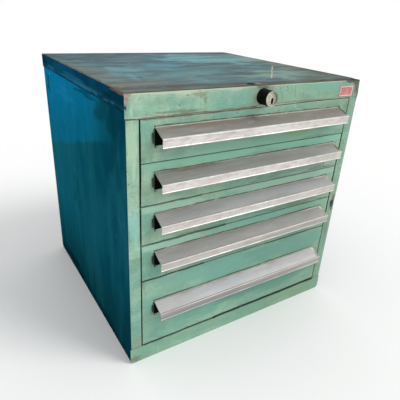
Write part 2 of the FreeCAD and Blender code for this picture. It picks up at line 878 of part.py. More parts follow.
def make_lock_bar():
    """Upright bar with a slotted head for the cam's pin and one hook for each drawer."""
    piece = Piece("lock_bar")
    half = d.bar_width / 2
    foot = hook_bottom(DRAWERS) - d.bar_foot
    head_side = d.pin_throw + d.pin_radius + d.bar_thickness * 2
    head_low = LOCK_Z + PIN_SIDE - d.bar_head_height / 2
    head_top = LOCK_Z + PIN_SIDE + d.bar_head_height / 2
    shape = [
        (-half, foot),
        (half, foot),
        (half, head_low),
        (head_side, head_low),
        (head_side, head_top),
        (-half, head_top),
    ]
    piece.pad("XZ", piece.outline("XZ", shape, BAR_FRONT), d.bar_thickness)
    slot_half = d.pin_radius + d.bar_slot_clearance
    slot = piece.rectangle(
        "XZ",
        PIN_SIDE - slot_half,
        d.pin_throw + slot_half,
        LOCK_Z + PIN_SIDE - slot_half,
        LOCK_Z + PIN_SIDE + slot_half,
        BAR_FRONT,
    )
    piece.pocket("XZ", slot, 2 * d.bar_thickness)
    catch_face = TRAY_REAR + d.catch_reach - d.catch_thickness
    tip_rear = catch_face - d.hook_play
    tip_front = tip_rear - d.bar_thickness
    for number in range(1, DRAWERS + 1):
        low = hook_bottom(number)
        arm = low + d.hook_lip
        section = [
            (tip_front, low),
            (tip_rear, low),
            (tip_rear, arm),
            (BAR_FRONT + d.bar_thickness / 2, arm),
            (BAR_FRONT + d.bar_thickness / 2, arm + d.bar_thickness),
            (tip_front, arm + d.bar_thickness),
        ]
        piece.pad_both_ways(piece.outline("YZ", section), d.hook_width)
    piece.place()


def make_lock_bracket():
    """Folded bracket on the back panel that carries the rear end of the lock shaft."""
    piece = Piece("lock_bracket")
    side = d.bracket_half_width
    inner = side - d.bracket_sheet
    rear = BACK_INSIDE
    face = SHAFT_REAR - d.bracket_gap - d.bracket_sheet
    inside_face = face + d.bracket_sheet
    plan = [
        (-side, face),
        (side, face),
        (side, rear),
        (inner, rear),
        (inner, inside_face),
        (-inner, inside_face),
        (-inner, rear),
        (-side, rear),
    ]
    sketch = piece.outline("XY", plan, -d.bracket_height / 2)
    piece.pad("XY", sketch, d.bracket_height)
    hole = piece.circle("XZ", 0, 0, d.shaft_radius + d.lock_fit, face)
    piece.pocket("XZ", hole, 2 * d.bracket_sheet)
    piece.place(LOCK_Z)


def make_bar_guides():
    """Two slotted blocks on the back panel that keep the lock bar upright."""
    piece = Piece("lock_bar_guides")
    half = d.bar_width / 2 + d.guide_fit
    front = BAR_FRONT - d.guide_fit - d.guide_wall
    for number in (1, DRAWERS):
        low = tray_bottom(number) + d.guide_rise
        sketch = piece.rectangle(
            "XY", -(half + d.guide_wall), half + d.guide_wall, front, BACK_INSIDE, low
        )
        piece.rectangle(
            "XY", -half, half, BAR_FRONT - d.guide_fit, BAR_REAR + d.guide_fit, sketch=sketch
        )
        piece.pad("XY", sketch, d.guide_height)
    piece.place()


def make_header_plate():
    """Small blank plate on the header's right end."""
    piece = Piece("header_plate")
    centre = HALF_WIDTH - d.plate_side
    half = d.plate_width / 2
    tall = d.plate_height / 2
    middle = HEADER_BOTTOM + d.plate_rise
    face = piece.rectangle(
        "XZ", centre - half, centre + half, middle - tall, middle + tall, -d.plate_thickness
    )
    piece.pad("XZ", face, d.plate_thickness)
    piece.round_edges(d.plate_corner, "Y", lambda p: True)
    piece.place()


def make_case():
    for side in (LEFT, RIGHT):
        make_side_panel(side)
        for end in ("front", "rear"):
            make_post(side, end)
    make_top_cover()
    make_bottom_pan()
    make_back_panel()
    make_back_screws()
    make_header_plate()


def make_lock():
    make_lock_barrel()
    make_lock_nut()
    make_lock_plug()
    make_lock_shaft()
    make_lock_cam()
    make_lock_bar()
    make_lock_bracket()
    make_bar_guides()


def make_drawer(number):
    make_slide_rails(number)
    make_carriages(number)
    make_carriage_rollers(number)
    make_drawer_runners(number)
    make_drawer_tray(number)
    make_drawer_front(number)
    make_drawer_handle(number)
    make_label_strip(number)


def check_document():
    """Stop if any object failed or any sub-part has no sound solid."""
    document.recompute()
    for thing in document.Objects:
        if "Invalid" in thing.State or "Error" in thing.State:
            raise RuntimeError(f"{thing.Label}: {thing.State}")
        if thing.TypeId == "PartDesign::Pocket" and thing.Shape.Volume >= thing.BaseFeature.Shape.Volume:
            raise RuntimeError(f"{thing.Label}: this pocket cuts nothing")
    bodies = [thing for thing in document.Objects if thing.TypeId == "PartDesign::Body"]
    for body in bodies:
        if body.Shape.isNull() or not body.Shape.isValid() or not body.Shape.Solids:
            raise RuntimeError(f"{body.Label}: no sound solid")
    return bodies


def write_parts(bodies):
    os.makedirs("parts", exist_ok=True)
    for body in bodies:
        body.Shape.exportStep(f"parts/{body.Label}.step")
        print(f"{body.Label}: {len(body.Shape.Solids)} solids, {body.Shape.Volume / 1000:.1f} cm3")


make_case()
make_lock()
for drawer_number in range(1, DRAWERS + 1):
    make_drawer(drawer_number)
parts = check_document()
write_parts(parts)
whole = Part.makeCompound([part.Shape for part in parts]).BoundBox
print(f"{len(parts)} sub-parts, {whole.XLength:.1f} x {whole.YLength:.1f} x {whole.ZLength:.1f} mm")
print(f"X {whole.XMin:.2f} to {whole.XMax:.2f}, Y {whole.YMin:.2f} to {whole.YMax:.2f}, Z {whole.ZMin:.2f}")
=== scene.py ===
# %% [markdown]
# # A worn steel tool cabinet
# This notebook dresses a finished construction. The steel case, the five drawers on their slides and
# the lock with its bar are already built to size. Here they get the look of decades in a workshop:
# scuffed mint enamel in front, blue-green enamel on the sides, a rubbed grey top and brushed pulls.
# We load the construction first, because every later size is read from it.

# %% Load the construction
import math

import bmesh
import bpy
from mathutils import Matrix, Vector, noise


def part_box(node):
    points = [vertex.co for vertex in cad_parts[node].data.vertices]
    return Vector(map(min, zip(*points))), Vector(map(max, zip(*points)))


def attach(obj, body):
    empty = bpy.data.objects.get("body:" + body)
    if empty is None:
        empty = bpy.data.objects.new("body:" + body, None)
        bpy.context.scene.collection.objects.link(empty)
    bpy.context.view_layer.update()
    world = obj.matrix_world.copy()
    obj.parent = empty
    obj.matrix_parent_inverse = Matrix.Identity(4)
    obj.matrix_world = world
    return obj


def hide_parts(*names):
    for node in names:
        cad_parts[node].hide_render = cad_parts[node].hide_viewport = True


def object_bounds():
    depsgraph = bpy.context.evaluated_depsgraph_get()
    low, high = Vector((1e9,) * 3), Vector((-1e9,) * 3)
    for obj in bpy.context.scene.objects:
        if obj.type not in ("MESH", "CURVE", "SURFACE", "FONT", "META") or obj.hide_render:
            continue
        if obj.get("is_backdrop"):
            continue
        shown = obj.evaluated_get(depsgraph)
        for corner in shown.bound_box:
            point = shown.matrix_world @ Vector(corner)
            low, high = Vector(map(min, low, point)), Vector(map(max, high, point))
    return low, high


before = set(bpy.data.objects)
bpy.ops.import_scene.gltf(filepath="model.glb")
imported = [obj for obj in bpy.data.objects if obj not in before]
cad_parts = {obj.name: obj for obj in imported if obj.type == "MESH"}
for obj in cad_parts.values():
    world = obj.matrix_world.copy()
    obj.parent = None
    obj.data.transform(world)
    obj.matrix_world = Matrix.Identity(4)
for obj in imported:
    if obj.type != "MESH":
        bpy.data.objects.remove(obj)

MM = 0.001
cad_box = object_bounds()
print("cabinet from", [round(v, 3) for v in cad_box[0]], "to", [round(v, 3) for v in cad_box[1]])

# %% [markdown]
# ## Sizes that the pieces share
# A new piece has to sit exactly where its steel is, so the places come from the boxes of the loaded
# parts. Only bends and small details that no box can tell are written here as real sizes.

# %% Shared sizes
cover_low, cover_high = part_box("top_cover")
barrel_low, barrel_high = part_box("lock_barrel")
DRAWERS = [number for number in range(1, 20) if f"drawer_front_{number}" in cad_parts]
LEFT, RIGHT = cover_low.x, cover_high.x
FRONT, REAR = cover_low.y, cover_high.y
HEADER_BOTTOM, TOP = cover_low.z, cover_high.z
LOCK = Vector((0, FRONT, (barrel_low.z + barrel_high.z) / 2))
CASE_SHEET = 1.5 * MM
DRAWER_SHEET = 1.2 * MM
BEND = 2 * MM
COVER_FLANGE = 37 * MM
COVER_WRAP = 6 * MM
FOLD_RETURN = 18 * MM
print("drawers", DRAWERS, "lock centre", [round(v, 4) for v in LOCK])


# %% [markdown]
# ## Writing a material as code
# Materials in Blender are node trees, and wiring them by hand gets long. So a Value stands for the output
# of a node, and sums with it add the Math nodes. Nodes adds any other node and feeds its inputs. Colours
# are written as they look on a screen, from 0 to 255, and become linear where they are mixed.

# %% Helpers for node trees
def paint(red, green, blue):
    """Linear colour of a screen colour."""
    shares = [value / 255 for value in (red, green, blue)]
    return (*[s / 12.92 if s <= 0.04045 else ((s + 0.055) / 1.055) ** 2.4 for s in shares], 1.0)


class Value:
    """An output of a node. A sum with it adds a Math node, or a Vector Math node for a place."""

    def __init__(self, nodes, socket):
        self.nodes = nodes
        self.socket = socket

    def __getitem__(self, output):
        """Another output of the same node."""
        return Value(self.nodes, self.socket.node.outputs[output])

    def sum(self, operation, first, second):
        work = self.nodes.math if self.socket.type == "VALUE" else self.nodes.vector
        return work(operation, first, second)

    def __add__(self, other):
        return self.sum("ADD", self, other)

    def __sub__(self, other):
        return self.sum("SUBTRACT", self, other)

    def __rsub__(self, other):
        return self.sum("SUBTRACT", other, self)

    def __mul__(self, other):
        return self.sum("MULTIPLY", self, other)

    def __truediv__(self, other):
        return self.sum("DIVIDE", self, other)

    def __rtruediv__(self, other):
        return self.sum("DIVIDE", other, self)

    def parts(self):
        """The three parts of a place."""
        split = self.nodes.add("ShaderNodeSeparateXYZ", {0: self})
        return [split[axis] for axis in range(3)]

    def between(self, low, high, start=0.0, end=1.0):
        """Smooth step from start, where the value is at low, to end, where it is at high."""
        inputs = {0: self, 1: low, 2: high, 3: start, 4: end}
        return self.nodes.add("ShaderNodeMapRange", inputs, interpolation_type="SMOOTHSTEP")


class Nodes:
    """Adds nodes to one tree. Every method gives back a Value that another node can take."""

    place = None

    def __init__(self, tree):
        self.tree = tree

    def feed(self, socket, value):
        if isinstance(value, Value):
            self.tree.links.new(value.socket, socket)
        else:
            socket.default_value = value

    def add(self, kind, inputs, **options):
        """A new node, as the Value of its first output."""
        made = self.tree.nodes.new(kind)
        for option, choice in options.items():
            setattr(made, option, choice)
        for socket, value in inputs.items():
            self.feed(made.inputs[socket], value)
        return Value(self, made.outputs[0])

    def math(self, operation, first, second=0.0, clamp=False):
        return self.add("ShaderNodeMath", {0: first, 1: second}, operation=operation, use_clamp=clamp)

    def vector(self, operation, first, second=(0, 0, 0)):
        made = self.add("ShaderNodeVectorMath", {0: first, 1: second}, operation=operation)
        return made[1] if operation in ("LENGTH", "DOT_PRODUCT", "DISTANCE") else made

    def mix(self, share, first, second):
        """Two colours mixed, each a Value or a screen colour."""
        first, second = [paint(*color) if isinstance(color, tuple) else color for color in (first, second)]
        return self.add("ShaderNodeMix", {0: share, 6: first, 7: second}, data_type="RGBA")[2]

    def mix_value(self, share, first, second):
        return self.add("ShaderNodeMix", {0: share, 2: first, 3: second})

    def cloud(self, place, size, detail=3.0, roughness=0.5, warp=0.0):
        """Soft noise whose lumps are about that size, in metres. Its middle value is 0.5."""
        inputs = {"Vector": place, "Scale": 1 / size, "Detail": detail}
        inputs.update({"Roughness": roughness, "Distortion": warp})
        return self.add("ShaderNodeTexNoise", inputs)

    def group(self, tree, **inputs):
        return self.add("ShaderNodeGroup", inputs, node_tree=tree)

    def give(self, **outputs):
        """Feed the outputs of a group, and give back its tree."""
        end = self.tree.nodes.new("NodeGroupOutput")
        for name, value in outputs.items():
            self.feed(end.inputs[name], value)
        return self.tree


def new_group(name, inputs, outputs, kind=Nodes):
    """A node group with named sockets: the helper that fills it, and its inner start."""
    tree = bpy.data.node_groups.new(name, "ShaderNodeTree")
    for label, value in inputs.items():
        socket_type = "NodeSocketVector" if isinstance(value, tuple) else "NodeSocketFloat"
        tree.interface.new_socket(label, in_out="INPUT", socket_type=socket_type).default_value = value
    for label in outputs:
        socket_type = "NodeSocketColor" if label == "Color" else "NodeSocketFloat"
        tree.interface.new_socket(label, in_out="OUTPUT", socket_type=socket_type)
    nodes = kind(tree)
    start = nodes.add("NodeGroupInput", {})
    nodes.place = start["Place"]
    return nodes, start


# %% [markdown]
# ## Wear as reusable effects
# Wear looks real when it follows the object: paint goes first along edges, dirt stays in lines, drips run
# down. Painting such maps by hand would fit only this cabinet. Instead each kind of wear is a shader
# node group that works in metres on Object coordinates, so it keeps its scale on every piece.

# %% Distance to the nearest edge
NOWHERE = (0, 0, 0)
HALF = (0.5, 0.5, 0.5)


def edge_group():
    """How far a point on a box-shaped piece is from the box's nearest edge."""
    inputs = {"Place": NOWHERE, "Low": NOWHERE, "High": (1, 1, 1)}
    nodes, start = new_group("Edge distance", inputs, ["Distance"])
    above = (nodes.place - start["Low"]).parts()
    below = (start["High"] - nodes.place).parts()
    across, deep, tall = [nodes.math("MINIMUM", *pair) for pair in zip(above, below)]
    smaller = nodes.math("MINIMUM", across, deep)
    larger = nodes.math("MAXIMUM", across, deep)
    return nodes.give(Distance=nodes.math("MAXIMUM", smaller, nodes.math("MINIMUM", larger, tall)))


# %% Patches
def patch_group():
    """Ragged patches. Stretch above 1 makes them narrower along that axis, below 1 longer."""
    inputs = {"Place": NOWHERE, "Stretch": (1, 1, 1), "Size": 0.1, "Cover": 0.5, "Blur": 0.1}
    nodes, start = new_group("Patches", inputs, ["Mask"])
    lumps = nodes.cloud(nodes.place * start["Stretch"], start["Size"], 4.0, 0.55, 0.3)
    edge = 1.0 - start["Cover"]
    spread = lumps.between(0.25, 0.75)
    return nodes.give(Mask=spread.between(edge - start["Blur"], edge + start["Blur"]))


# %% Paint worn off along an edge
def worn_edge_group():
    """A band of the given width along an edge, broken up so that some stretches stay whole."""
    inputs = {"Place": NOWHERE, "Distance": 0.0, "Width": 0.002, "Amount": 0.5}
    nodes, start = new_group("Worn edge", inputs, ["Mask"])
    lumps = nodes.cloud(nodes.place, 0.05) * 0.7 + nodes.cloud(nodes.place, 0.006, 2.0) * 0.3
    bare = lumps - (0.8 - start["Amount"] * 0.6)
    reach = bare * 4.0 * start["Width"]
    inner = reach - start["Width"] * 0.4
    return nodes.give(Mask=start["Distance"].between(inner, reach, 1.0, 0.0))


# %% Chips
def chip_group():
    """Scattered small chips: the hole in the paint, and the rim round it."""
    inputs = {"Place": NOWHERE, "Spacing": 0.03, "Share": 0.2, "Chip": 0.2}
    nodes, start = new_group("Chips", inputs, ["Mask", "Rim"])
    shift = nodes.add("ShaderNodeTexNoise", {"Vector": nodes.place, "Scale": 350.0, "Detail": 2.0})[1]
    place = nodes.place + (shift - HALF) * (0.004, 0.004, 0.004)
    cells = nodes.add("ShaderNodeTexVoronoi", {"Vector": place, "Scale": 1.0 / start["Spacing"]})
    chance = cells["Color"].parts()
    chosen = nodes.math("LESS_THAN", chance[0], start["Share"])
    radius = start["Chip"] * (chance[1] + 0.3)
    mask = cells["Distance"].between(radius * 0.7, radius, 1.0, 0.0)
    rim = cells["Distance"].between(radius, radius * 1.9, 1.0, 0.0)
    return nodes.give(Mask=mask * chosen, Rim=rim * chosen)


# %% Hairline scratches
def scratch_group():
    """Fine broken lines, which run along the axis whose stretch is smallest."""
    inputs = {"Place": NOWHERE, "Stretch": (1, 1, 1), "Size": 0.05, "Share": 0.5}
    nodes, start = new_group("Scratches", inputs, ["Mask"])
    lines = nodes.cloud(nodes.place * start["Stretch"], start["Size"], 1.5, 0.4, 0.6)
    line = nodes.math("ABSOLUTE", lines - 0.5).between(0.0, 0.012, 1.0, 0.0)
    limit = 0.72 - start["Share"] * 0.4
    broken = nodes.cloud(nodes.place, 0.035, 2.0).between(limit, limit + 0.08)
    return nodes.give(Mask=line * broken)


# %% One mark at one place
def spot_group():
    """One ragged spot at a place, with its reach along each axis."""
    inputs = {"Place": NOWHERE, "Centre": NOWHERE, "Reach": (0.05, 0.05, 0.05), "Ragged": 0.3}
    nodes, start = new_group("Spot", inputs, ["Mask"])
    away = (nodes.place - start["Centre"]) / start["Reach"]
    wobble = nodes.add("ShaderNodeTexNoise", {"Vector": away, "Scale": 1.6, "Detail": 4.0})
    distance = nodes.vector("LENGTH", away) + (wobble - 0.5) * 4.0 * start["Ragged"]
    soft = 1.0 - nodes.math("MAXIMUM", start["Ragged"], 0.05)
    return nodes.give(Mask=distance.between(soft, 1.0, 1.0, 0.0))


def stroke_group():
    """One scratch from a start to an end, with a little wander."""
    inputs = {"Place": NOWHERE, "Start": NOWHERE, "End": (1, 0, 0), "Width": 0.001}
    nodes, start = new_group("Stroke", inputs, ["Mask"])
    wander = nodes.add("ShaderNodeTexNoise", {"Vector": nodes.place, "Scale": 25.0})[1]
    away = nodes.place - start["Start"] + (wander - HALF) * (0.008, 0.008, 0.008)
    run = start["End"] - start["Start"]
    along = nodes.vector("DOT_PRODUCT", away, run) / nodes.vector("DOT_PRODUCT", run, run)
    along = nodes.math("ADD", along, 0.0, clamp=True)
    foot = nodes.add("ShaderNodeVectorMath", {0: run, "Scale": along}, operation="SCALE")
    distance = nodes.vector("DISTANCE", away, foot)
    return nodes.give(Mask=distance.between(start["Width"] * 0.5, start["Width"], 1.0, 0.0))


EDGE = edge_group()
PATCH = patch_group()
WORN_EDGE = worn_edge_group()
CHIPS = chip_group()
SCRATCHES = scratch_group()
SPOT = spot_group()
STROKE = stroke_group()


# %% [markdown]
# ## The enamel
# The cabinet was sprayed twice, mint over the front and blue-green over the sides, and both coats have
# aged in their own way. The top was rubbed almost bare. Each look is a node group of its own that puts
# out colour, roughness and height, and all of them start from the same skin. A Coat holds the colour so
# far, and each layer is mixed over it by a mask.

# %% A coat in layers
class Coat(Nodes):
    """Nodes that build up a colour in layers over one place."""

    color = None
    material = None

    def layer(self, share, color):
        self.color = self.mix(share, self.color, color)

    def patches(self, size, cover, blur, stretch=(1, 1, 1)):
        return self.group(PATCH, Place=self.place, Stretch=stretch, Size=size, Cover=cover, Blur=blur)

    def worn(self, distance, width, amount):
        return self.group(WORN_EDGE, Place=self.place, Distance=distance, Width=width, Amount=amount)

    def chips(self, spacing, share, chip):
        return self.group(CHIPS, Place=self.place, Spacing=spacing, Share=share, Chip=chip)

    def scratches(self, size, share, stretch):
        return self.group(SCRATCHES, Place=self.place, Stretch=stretch, Size=size, Share=share)

    def spots(self, marks):
        for centre, reach, ragged, share, color in marks:
            spot = self.group(SPOT, Place=self.place, Centre=centre, Reach=reach, Ragged=ragged)
            self.layer(spot * share, color)

    def shade(self, roughness, height=None, depth=0.0, metallic=0.0, sheen=0.5):
        """Feed the material's shader, with a bump of that depth, and give back the material."""
        inputs = self.tree.nodes["Principled BSDF"].inputs
        self.feed(inputs["Base Color"], self.color)
        self.feed(inputs["Roughness"], roughness)
        self.feed(inputs["Metallic"], metallic)
        inputs["Specular IOR Level"].default_value = sheen
        if height:
            bump = {"Height": height, "Distance": depth, "Strength": 1.0}
            self.feed(inputs["Normal"], self.add("ShaderNodeBump", bump))
        return self.material


def new_coat(name):
    """The coat of a new material."""
    material = bpy.data.materials.new(name)
    material.use_nodes = True
    coat = Coat(material.node_tree)
    coat.material = material
    coat.place = coat.add("ShaderNodeTexCoord", {})["Object"]
    return coat


# %% Base of every enamel: grain, gloss and small damage
def enamel_skin_group():
    """Unevenness that all enamel shares: a slight tone change, gloss and height."""
    nodes, _ = new_group("Enamel skin", {"Place": NOWHERE}, ["Tone", "Roughness", "Height"])
    dust = nodes.cloud(nodes.place, 0.012, 5.0, 0.7)
    tone = dust * 0.5 + nodes.cloud(nodes.place, 0.05) * 0.5
    orange_peel = nodes.cloud(nodes.place, 0.004, 2.0)
    return nodes.give(
        Tone=tone.between(0.3, 0.7),
        Roughness=dust.between(0.3, 0.7, 0.34, 0.55),
        Height=orange_peel * 0.12 + nodes.cloud(nodes.place, 0.09, 1.0),
    )


ENAMEL_SKIN = enamel_skin_group()

MINT = (148, 187, 163)
AQUA = (122, 172, 155)
CHALK = (176, 205, 178)
OLD_MINT = (134, 164, 142)
GRIME = (88, 84, 68)
RUST = (128, 92, 76)
SOOT = (22, 27, 24)
BARE = (176, 182, 170)


def new_finish(name):
    """The coat of a look's group, its distance to an edge, and the skin it starts from."""
    inputs = {"Place": NOWHERE, "Edge": 0.0}
    coat, start = new_group(name, inputs, ["Color", "Roughness", "Height"], Coat)
    return coat, start["Edge"], coat.group(ENAMEL_SKIN, Place=coat.place)


def spots_at(place, rows):
    """Spots from rows of: where, reach in millimetres, raggedness, strength and colour."""
    return [(place(*where), tuple(side * MM for side in reach), *rest) for where, reach, *rest in rows]


def strokes_at(place, rows):
    """Scratches from rows of: start, end, width in millimetres, strength and colour."""
    return [(place(*begin), place(*end), width * MM, *rest) for begin, end, width, *rest in rows]


# %% [markdown]
# ### Mint front
# The mint coat is patchy: aqua where it kept its colour, chalky at the left, duller at the right and low
# down. Brown grime collects along every fold, and small chips show rust. Each of these is one layer that
# is mixed over the last, from the largest to the smallest, as a scenic painter would work.

# %% Mint front finish
def front_finish_group():
    coat, edge, skin = new_finish("Mint front")
    x, y, z = coat.place.parts()
    coat.color = coat.mix(coat.patches(0.22, 0.5, 0.25, (1, 1, 2)), MINT, AQUA)
    left = x.between(LEFT, RIGHT * 0.3, 0.7, 0.0) * z.between(0.05, 0.45, 0.4, 1.0)
    coat.layer(coat.patches(0.05, 0.45, 0.3, (1, 1, 0.6)) * left, CHALK)
    coat.layer(x.between(LEFT * 0.3, RIGHT, 0.0, 0.75), OLD_MINT)
    coat.layer(skin["Tone"].between(0.0, 1.0, 0.18, 0.0), OLD_MINT)
    coat.layer(coat.patches(0.012, 0.3, 0.3, (1, 1, 0.06)) * 0.16, (122, 146, 118))
    coat.layer(coat.patches(0.005, 0.4, 0.2) * 0.16, (92, 120, 96))
    coat.layer(coat.patches(0.04, 0.32, 0.25, (0.4, 1, 1.4)) * 0.28, (112, 134, 114))
    grime = coat.worn(edge, 0.004, 0.5)
    coat.layer(grime * 0.75, GRIME)
    bare = coat.worn(edge, 0.0016, 0.75)
    coat.layer(bare * 0.6, BARE)
    chips = coat.chips(0.035, 0.13, 0.07)
    coat.layer(chips["Rim"] * 0.35, RUST)
    coat.layer(chips["Mask"] * 0.9, SOOT)
    coat.layer(coat.scratches(0.09, 0.45, (0.25, 1, 1.3)) * 0.35, CHALK)
    coat.layer(coat.chips(0.014, 0.7, 0.12) * 0.65, (70, 80, 58))
    # Faces set back behind the front plane, the returns in the gaps, are painted near black: painted shade
    # in the gaps.
    coat.layer(y.between(FRONT + 0.0008, FRONT + 0.0026, 0.0, 0.85), (30, 34, 26))
    # A pale line just under the top edge: painted highlight where the fold catches the light.
    fold = z.between(TOP - 0.0040, TOP - 0.0020) * coat.cloud(coat.place, 0.03)
    coat.layer(coat.math("MULTIPLY", fold, 1.2, clamp=True), (192, 208, 180))
    dull = coat.math("MAXIMUM", grime, chips["Mask"])
    rough = coat.mix_value(dull, skin["Roughness"], 0.8)
    height = skin["Height"] - (chips["Mask"] * 0.5 + bare * 0.2)
    return coat.give(Color=coat.color, Roughness=rough, Height=height)


def on_front(across, height):
    """A place on the front plane: from the case's left edge and from the floor, in millimetres."""
    return (LEFT + across * MM, FRONT, height * MM)
FRONT_FINISH = front_finish_group()
FRONT_SPOTS = spots_at(on_front, [
    ((400, 562), (300, 20, 24), 0.5, 0.75, (140, 188, 162)),
    ((200, 543), (220, 20, 22), 0.5, 0.75, (138, 192, 168)),
    ((540, 541), (200, 20, 22), 0.5, 0.75, (136, 188, 166)),
    ((590, 466), (140, 20, 22), 0.5, 0.7, (148, 172, 156)),
    ((110, 441), (120, 20, 22), 0.5, 0.8, (164, 202, 180)),
    ((480, 440), (260, 20, 22), 0.5, 0.8, (156, 192, 174)),
    ((110, 341), (120, 20, 22), 0.5, 0.8, (164, 204, 184)),
    ((360, 341), (200, 20, 20), 0.5, 0.7, (130, 180, 166)),
    ((600, 340), (140, 20, 20), 0.5, 0.6, (134, 176, 156)),
    ((230, 218), (200, 20, 50), 0.5, 0.7, (116, 168, 154)),
    ((520, 212), (220, 20, 50), 0.5, 0.8, (106, 154, 140)),
    ((210, 100), (140, 20, 40), 0.5, 0.7, (118, 172, 154)),
    ((450, 104), (280, 20, 40), 0.5, 0.85, (102, 150, 132)),
    ((330, 25), (340, 20, 30), 0.5, 0.55, (124, 160, 140)),
    ((560, 682), (70, 50, 18), 0.5, 0.7, AQUA),
    # The next two pale spots along the top fold are painted highlight, like the fold line of the front
    # finish.
    ((130, 695), (100, 20, 5), 0.6, 0.7, (192, 200, 172)),
    ((255, 696), (60, 20, 6), 0.6, 0.7, (184, 192, 168)),
    ((172, 688), (24, 20, 10), 0.7, 0.6, (130, 124, 100)),
    ((186, 675), (6, 10, 14), 0.6, 0.5, (104, 118, 92)),
    ((128, 656), (80, 10, 6), 0.7, 0.6, (110, 104, 78)),
    ((5, 688), (10, 10, 14), 0.9, 0.85, (170, 120, 112)),
    ((7, 697), (14, 10, 4), 0.8, 0.7, (150, 104, 96)),
    ((3, 672), (4, 10, 7), 0.6, 0.9, SOOT),
    ((346, 695), (26, 10, 8), 0.6, 0.8, (112, 100, 84)),
    ((322, 688), (12, 10, 10), 0.6, 0.7, (164, 168, 146)),
    ((323, 672), (10, 10, 12), 0.6, 0.5, (132, 150, 124)),
    ((372, 692), (12, 10, 8), 0.6, 0.7, (150, 144, 126)),
    ((374, 668), (16, 10, 9), 0.6, 0.6, (152, 150, 120)),
    ((562, 668), (30, 10, 8), 0.7, 0.5, (138, 152, 104)),
    ((16, 590), (16, 20, 90), 0.5, 0.6, (184, 210, 182)),
    ((18, 400), (18, 20, 60), 0.5, 0.6, (146, 202, 190)),
    ((640, 658), (50, 20, 10), 0.6, 0.5, (118, 142, 112)),
    ((652, 620), (10, 20, 40), 0.5, 0.5, (104, 132, 112)),
    ((670, 696), (50, 20, 10), 0.5, 0.9, (70, 72, 64)),
    ((686, 678), (20, 20, 40), 0.5, 0.9, (92, 98, 84)),
    ((678, 323), (11, 10, 24), 0.5, 0.95, (34, 32, 30)),
    ((681, 348), (8, 10, 12), 0.5, 0.85, (116, 92, 78)),
    ((655, 120), (18, 20, 80), 0.8, 0.5, (110, 120, 100)),
    ((20, 60), (16, 20, 30), 0.6, 0.5, (138, 146, 126)),
    ((12, 12), (20, 20, 14), 0.6, 0.6, (120, 110, 98)),
    ((480, 655), (150, 10, 3), 0.5, 0.7, (132, 122, 92)),
    ((480, 572), (70, 20, 10), 0.7, 0.55, (140, 172, 108)),
    ((592, 574), (50, 20, 10), 0.7, 0.5, (100, 168, 138)),
    ((330, 576), (80, 20, 12), 0.7, 0.4, (106, 164, 140)),
    ((622, 470), (18, 10, 8), 0.5, 0.5, (152, 178, 154)),
    ((560, 556), (80, 20, 6), 0.7, 0.45, (92, 132, 108)),
    ((420, 456), (110, 20, 7), 0.7, 0.4, (96, 118, 92)),
    ((590, 458), (60, 20, 9), 0.7, 0.5, (108, 124, 98)),
    ((200, 356), (110, 20, 7), 0.7, 0.35, (100, 118, 90)),
    ((500, 357), (120, 20, 8), 0.7, 0.45, (98, 122, 92)),
    ((330, 257), (160, 20, 7), 0.7, 0.35, (94, 114, 90)),
    ((673, 470), (12, 20, 60), 0.7, 0.45, (106, 136, 112)),
    ((675, 230), (13, 20, 90), 0.8, 0.55, (114, 122, 104)),
    ((38, 238), (6, 10, 24), 0.6, 0.5, (140, 134, 118)),
    ((40, 560), (8, 10, 12), 0.6, 0.4, (120, 126, 104)),
    ((560, 20), (110, 20, 18), 0.7, 0.4, (140, 154, 110)),
    # The near-black strips in the next rows, along the gaps beside both stiles, are painted shade in the
    # gaps.
    ((33, 560), (2.6, 10, 88), 0.12, 0.85, (24, 28, 22)),
    ((31, 440), (1.8, 10, 100), 0.2, 0.6, (40, 44, 34)),
    ((658.5, 505), (3, 10, 80), 0.12, 0.9, (22, 26, 20)),
    ((658.5, 400), (3, 10, 80), 0.12, 0.9, (22, 26, 20)),
    ((658.5, 300), (3, 10, 80), 0.12, 0.9, (22, 26, 20)),
])
FRONT_STROKES = strokes_at(on_front, [
    ((0, 648), (34, 648), 2.2, 0.85, (80, 72, 56)),
    ((30, 649), (330, 651.5), 2.4, 0.7, (92, 84, 66)),
    ((626, 634), (648, 606), 4, 0.5, (170, 196, 160)),
    ((606, 459), (654, 456), 2, 0.7, (70, 84, 66)),
    ((604, 462), (603, 474), 2, 0.6, (70, 84, 66)),
    ((600, 357), (650, 352), 2, 0.6, (76, 90, 70)),
    ((40, 645), (330, 648.5), 2.6, 0.5, (128, 102, 82)),
    ((398, 692), (410, 664), 1.2, 0.5, (98, 128, 108)),
    ((424, 690), (432, 668), 1.2, 0.4, (98, 128, 108)),
    ((446, 692), (452, 666), 1.6, 0.4, (96, 134, 108)),
    ((476, 690), (478, 664), 1.6, 0.35, (96, 134, 108)),
    ((580, 686), (584, 674), 2, 0.5, (98, 148, 168)),
    # The dark strokes from here on, along the gaps between the drawers and above the base, are painted
    # shade in the gaps.
    ((33, 452), (190, 452), 3.4, 0.5, (44, 50, 38)),
    ((33, 352), (270, 352), 3.8, 0.65, (36, 42, 32)),
    ((33, 252), (210, 252), 3.8, 0.65, (36, 42, 32)),
    ((420, 252), (655, 252), 3.4, 0.45, (50, 58, 44)),
    ((40, 49), (260, 49), 5, 0.6, (56, 54, 40)),
    ((256, 49), (655, 49), 6.4, 0.8, (36, 34, 26)),
])
for drawer in DRAWERS:
    pull_low, pull_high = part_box(f"drawer_handle_{drawer}")
    # A dark spot at each pull's left end: painted shadow of the pull on the front.
    pull_shadow = (pull_low.x, FRONT, pull_high.z - 27 * MM)
    FRONT_SPOTS.append((pull_shadow, (9 * MM, 20 * MM, 24 * MM), 0.4, 0.85, (20, 26, 19)))
    # A dark line along each pull's top edge: painted shade where the pull meets the front, with some
    # grime.
    shade_line_height = pull_high.z + 0.4 * MM
    shade_line_start = (pull_low.x - 1 * MM, FRONT, shade_line_height)
    shade_line_end = (pull_high.x + 1 * MM, FRONT, shade_line_height)
    FRONT_STROKES.append((shade_line_start, shade_line_end, 2.2 * MM, 0.8, (74, 66, 54)))
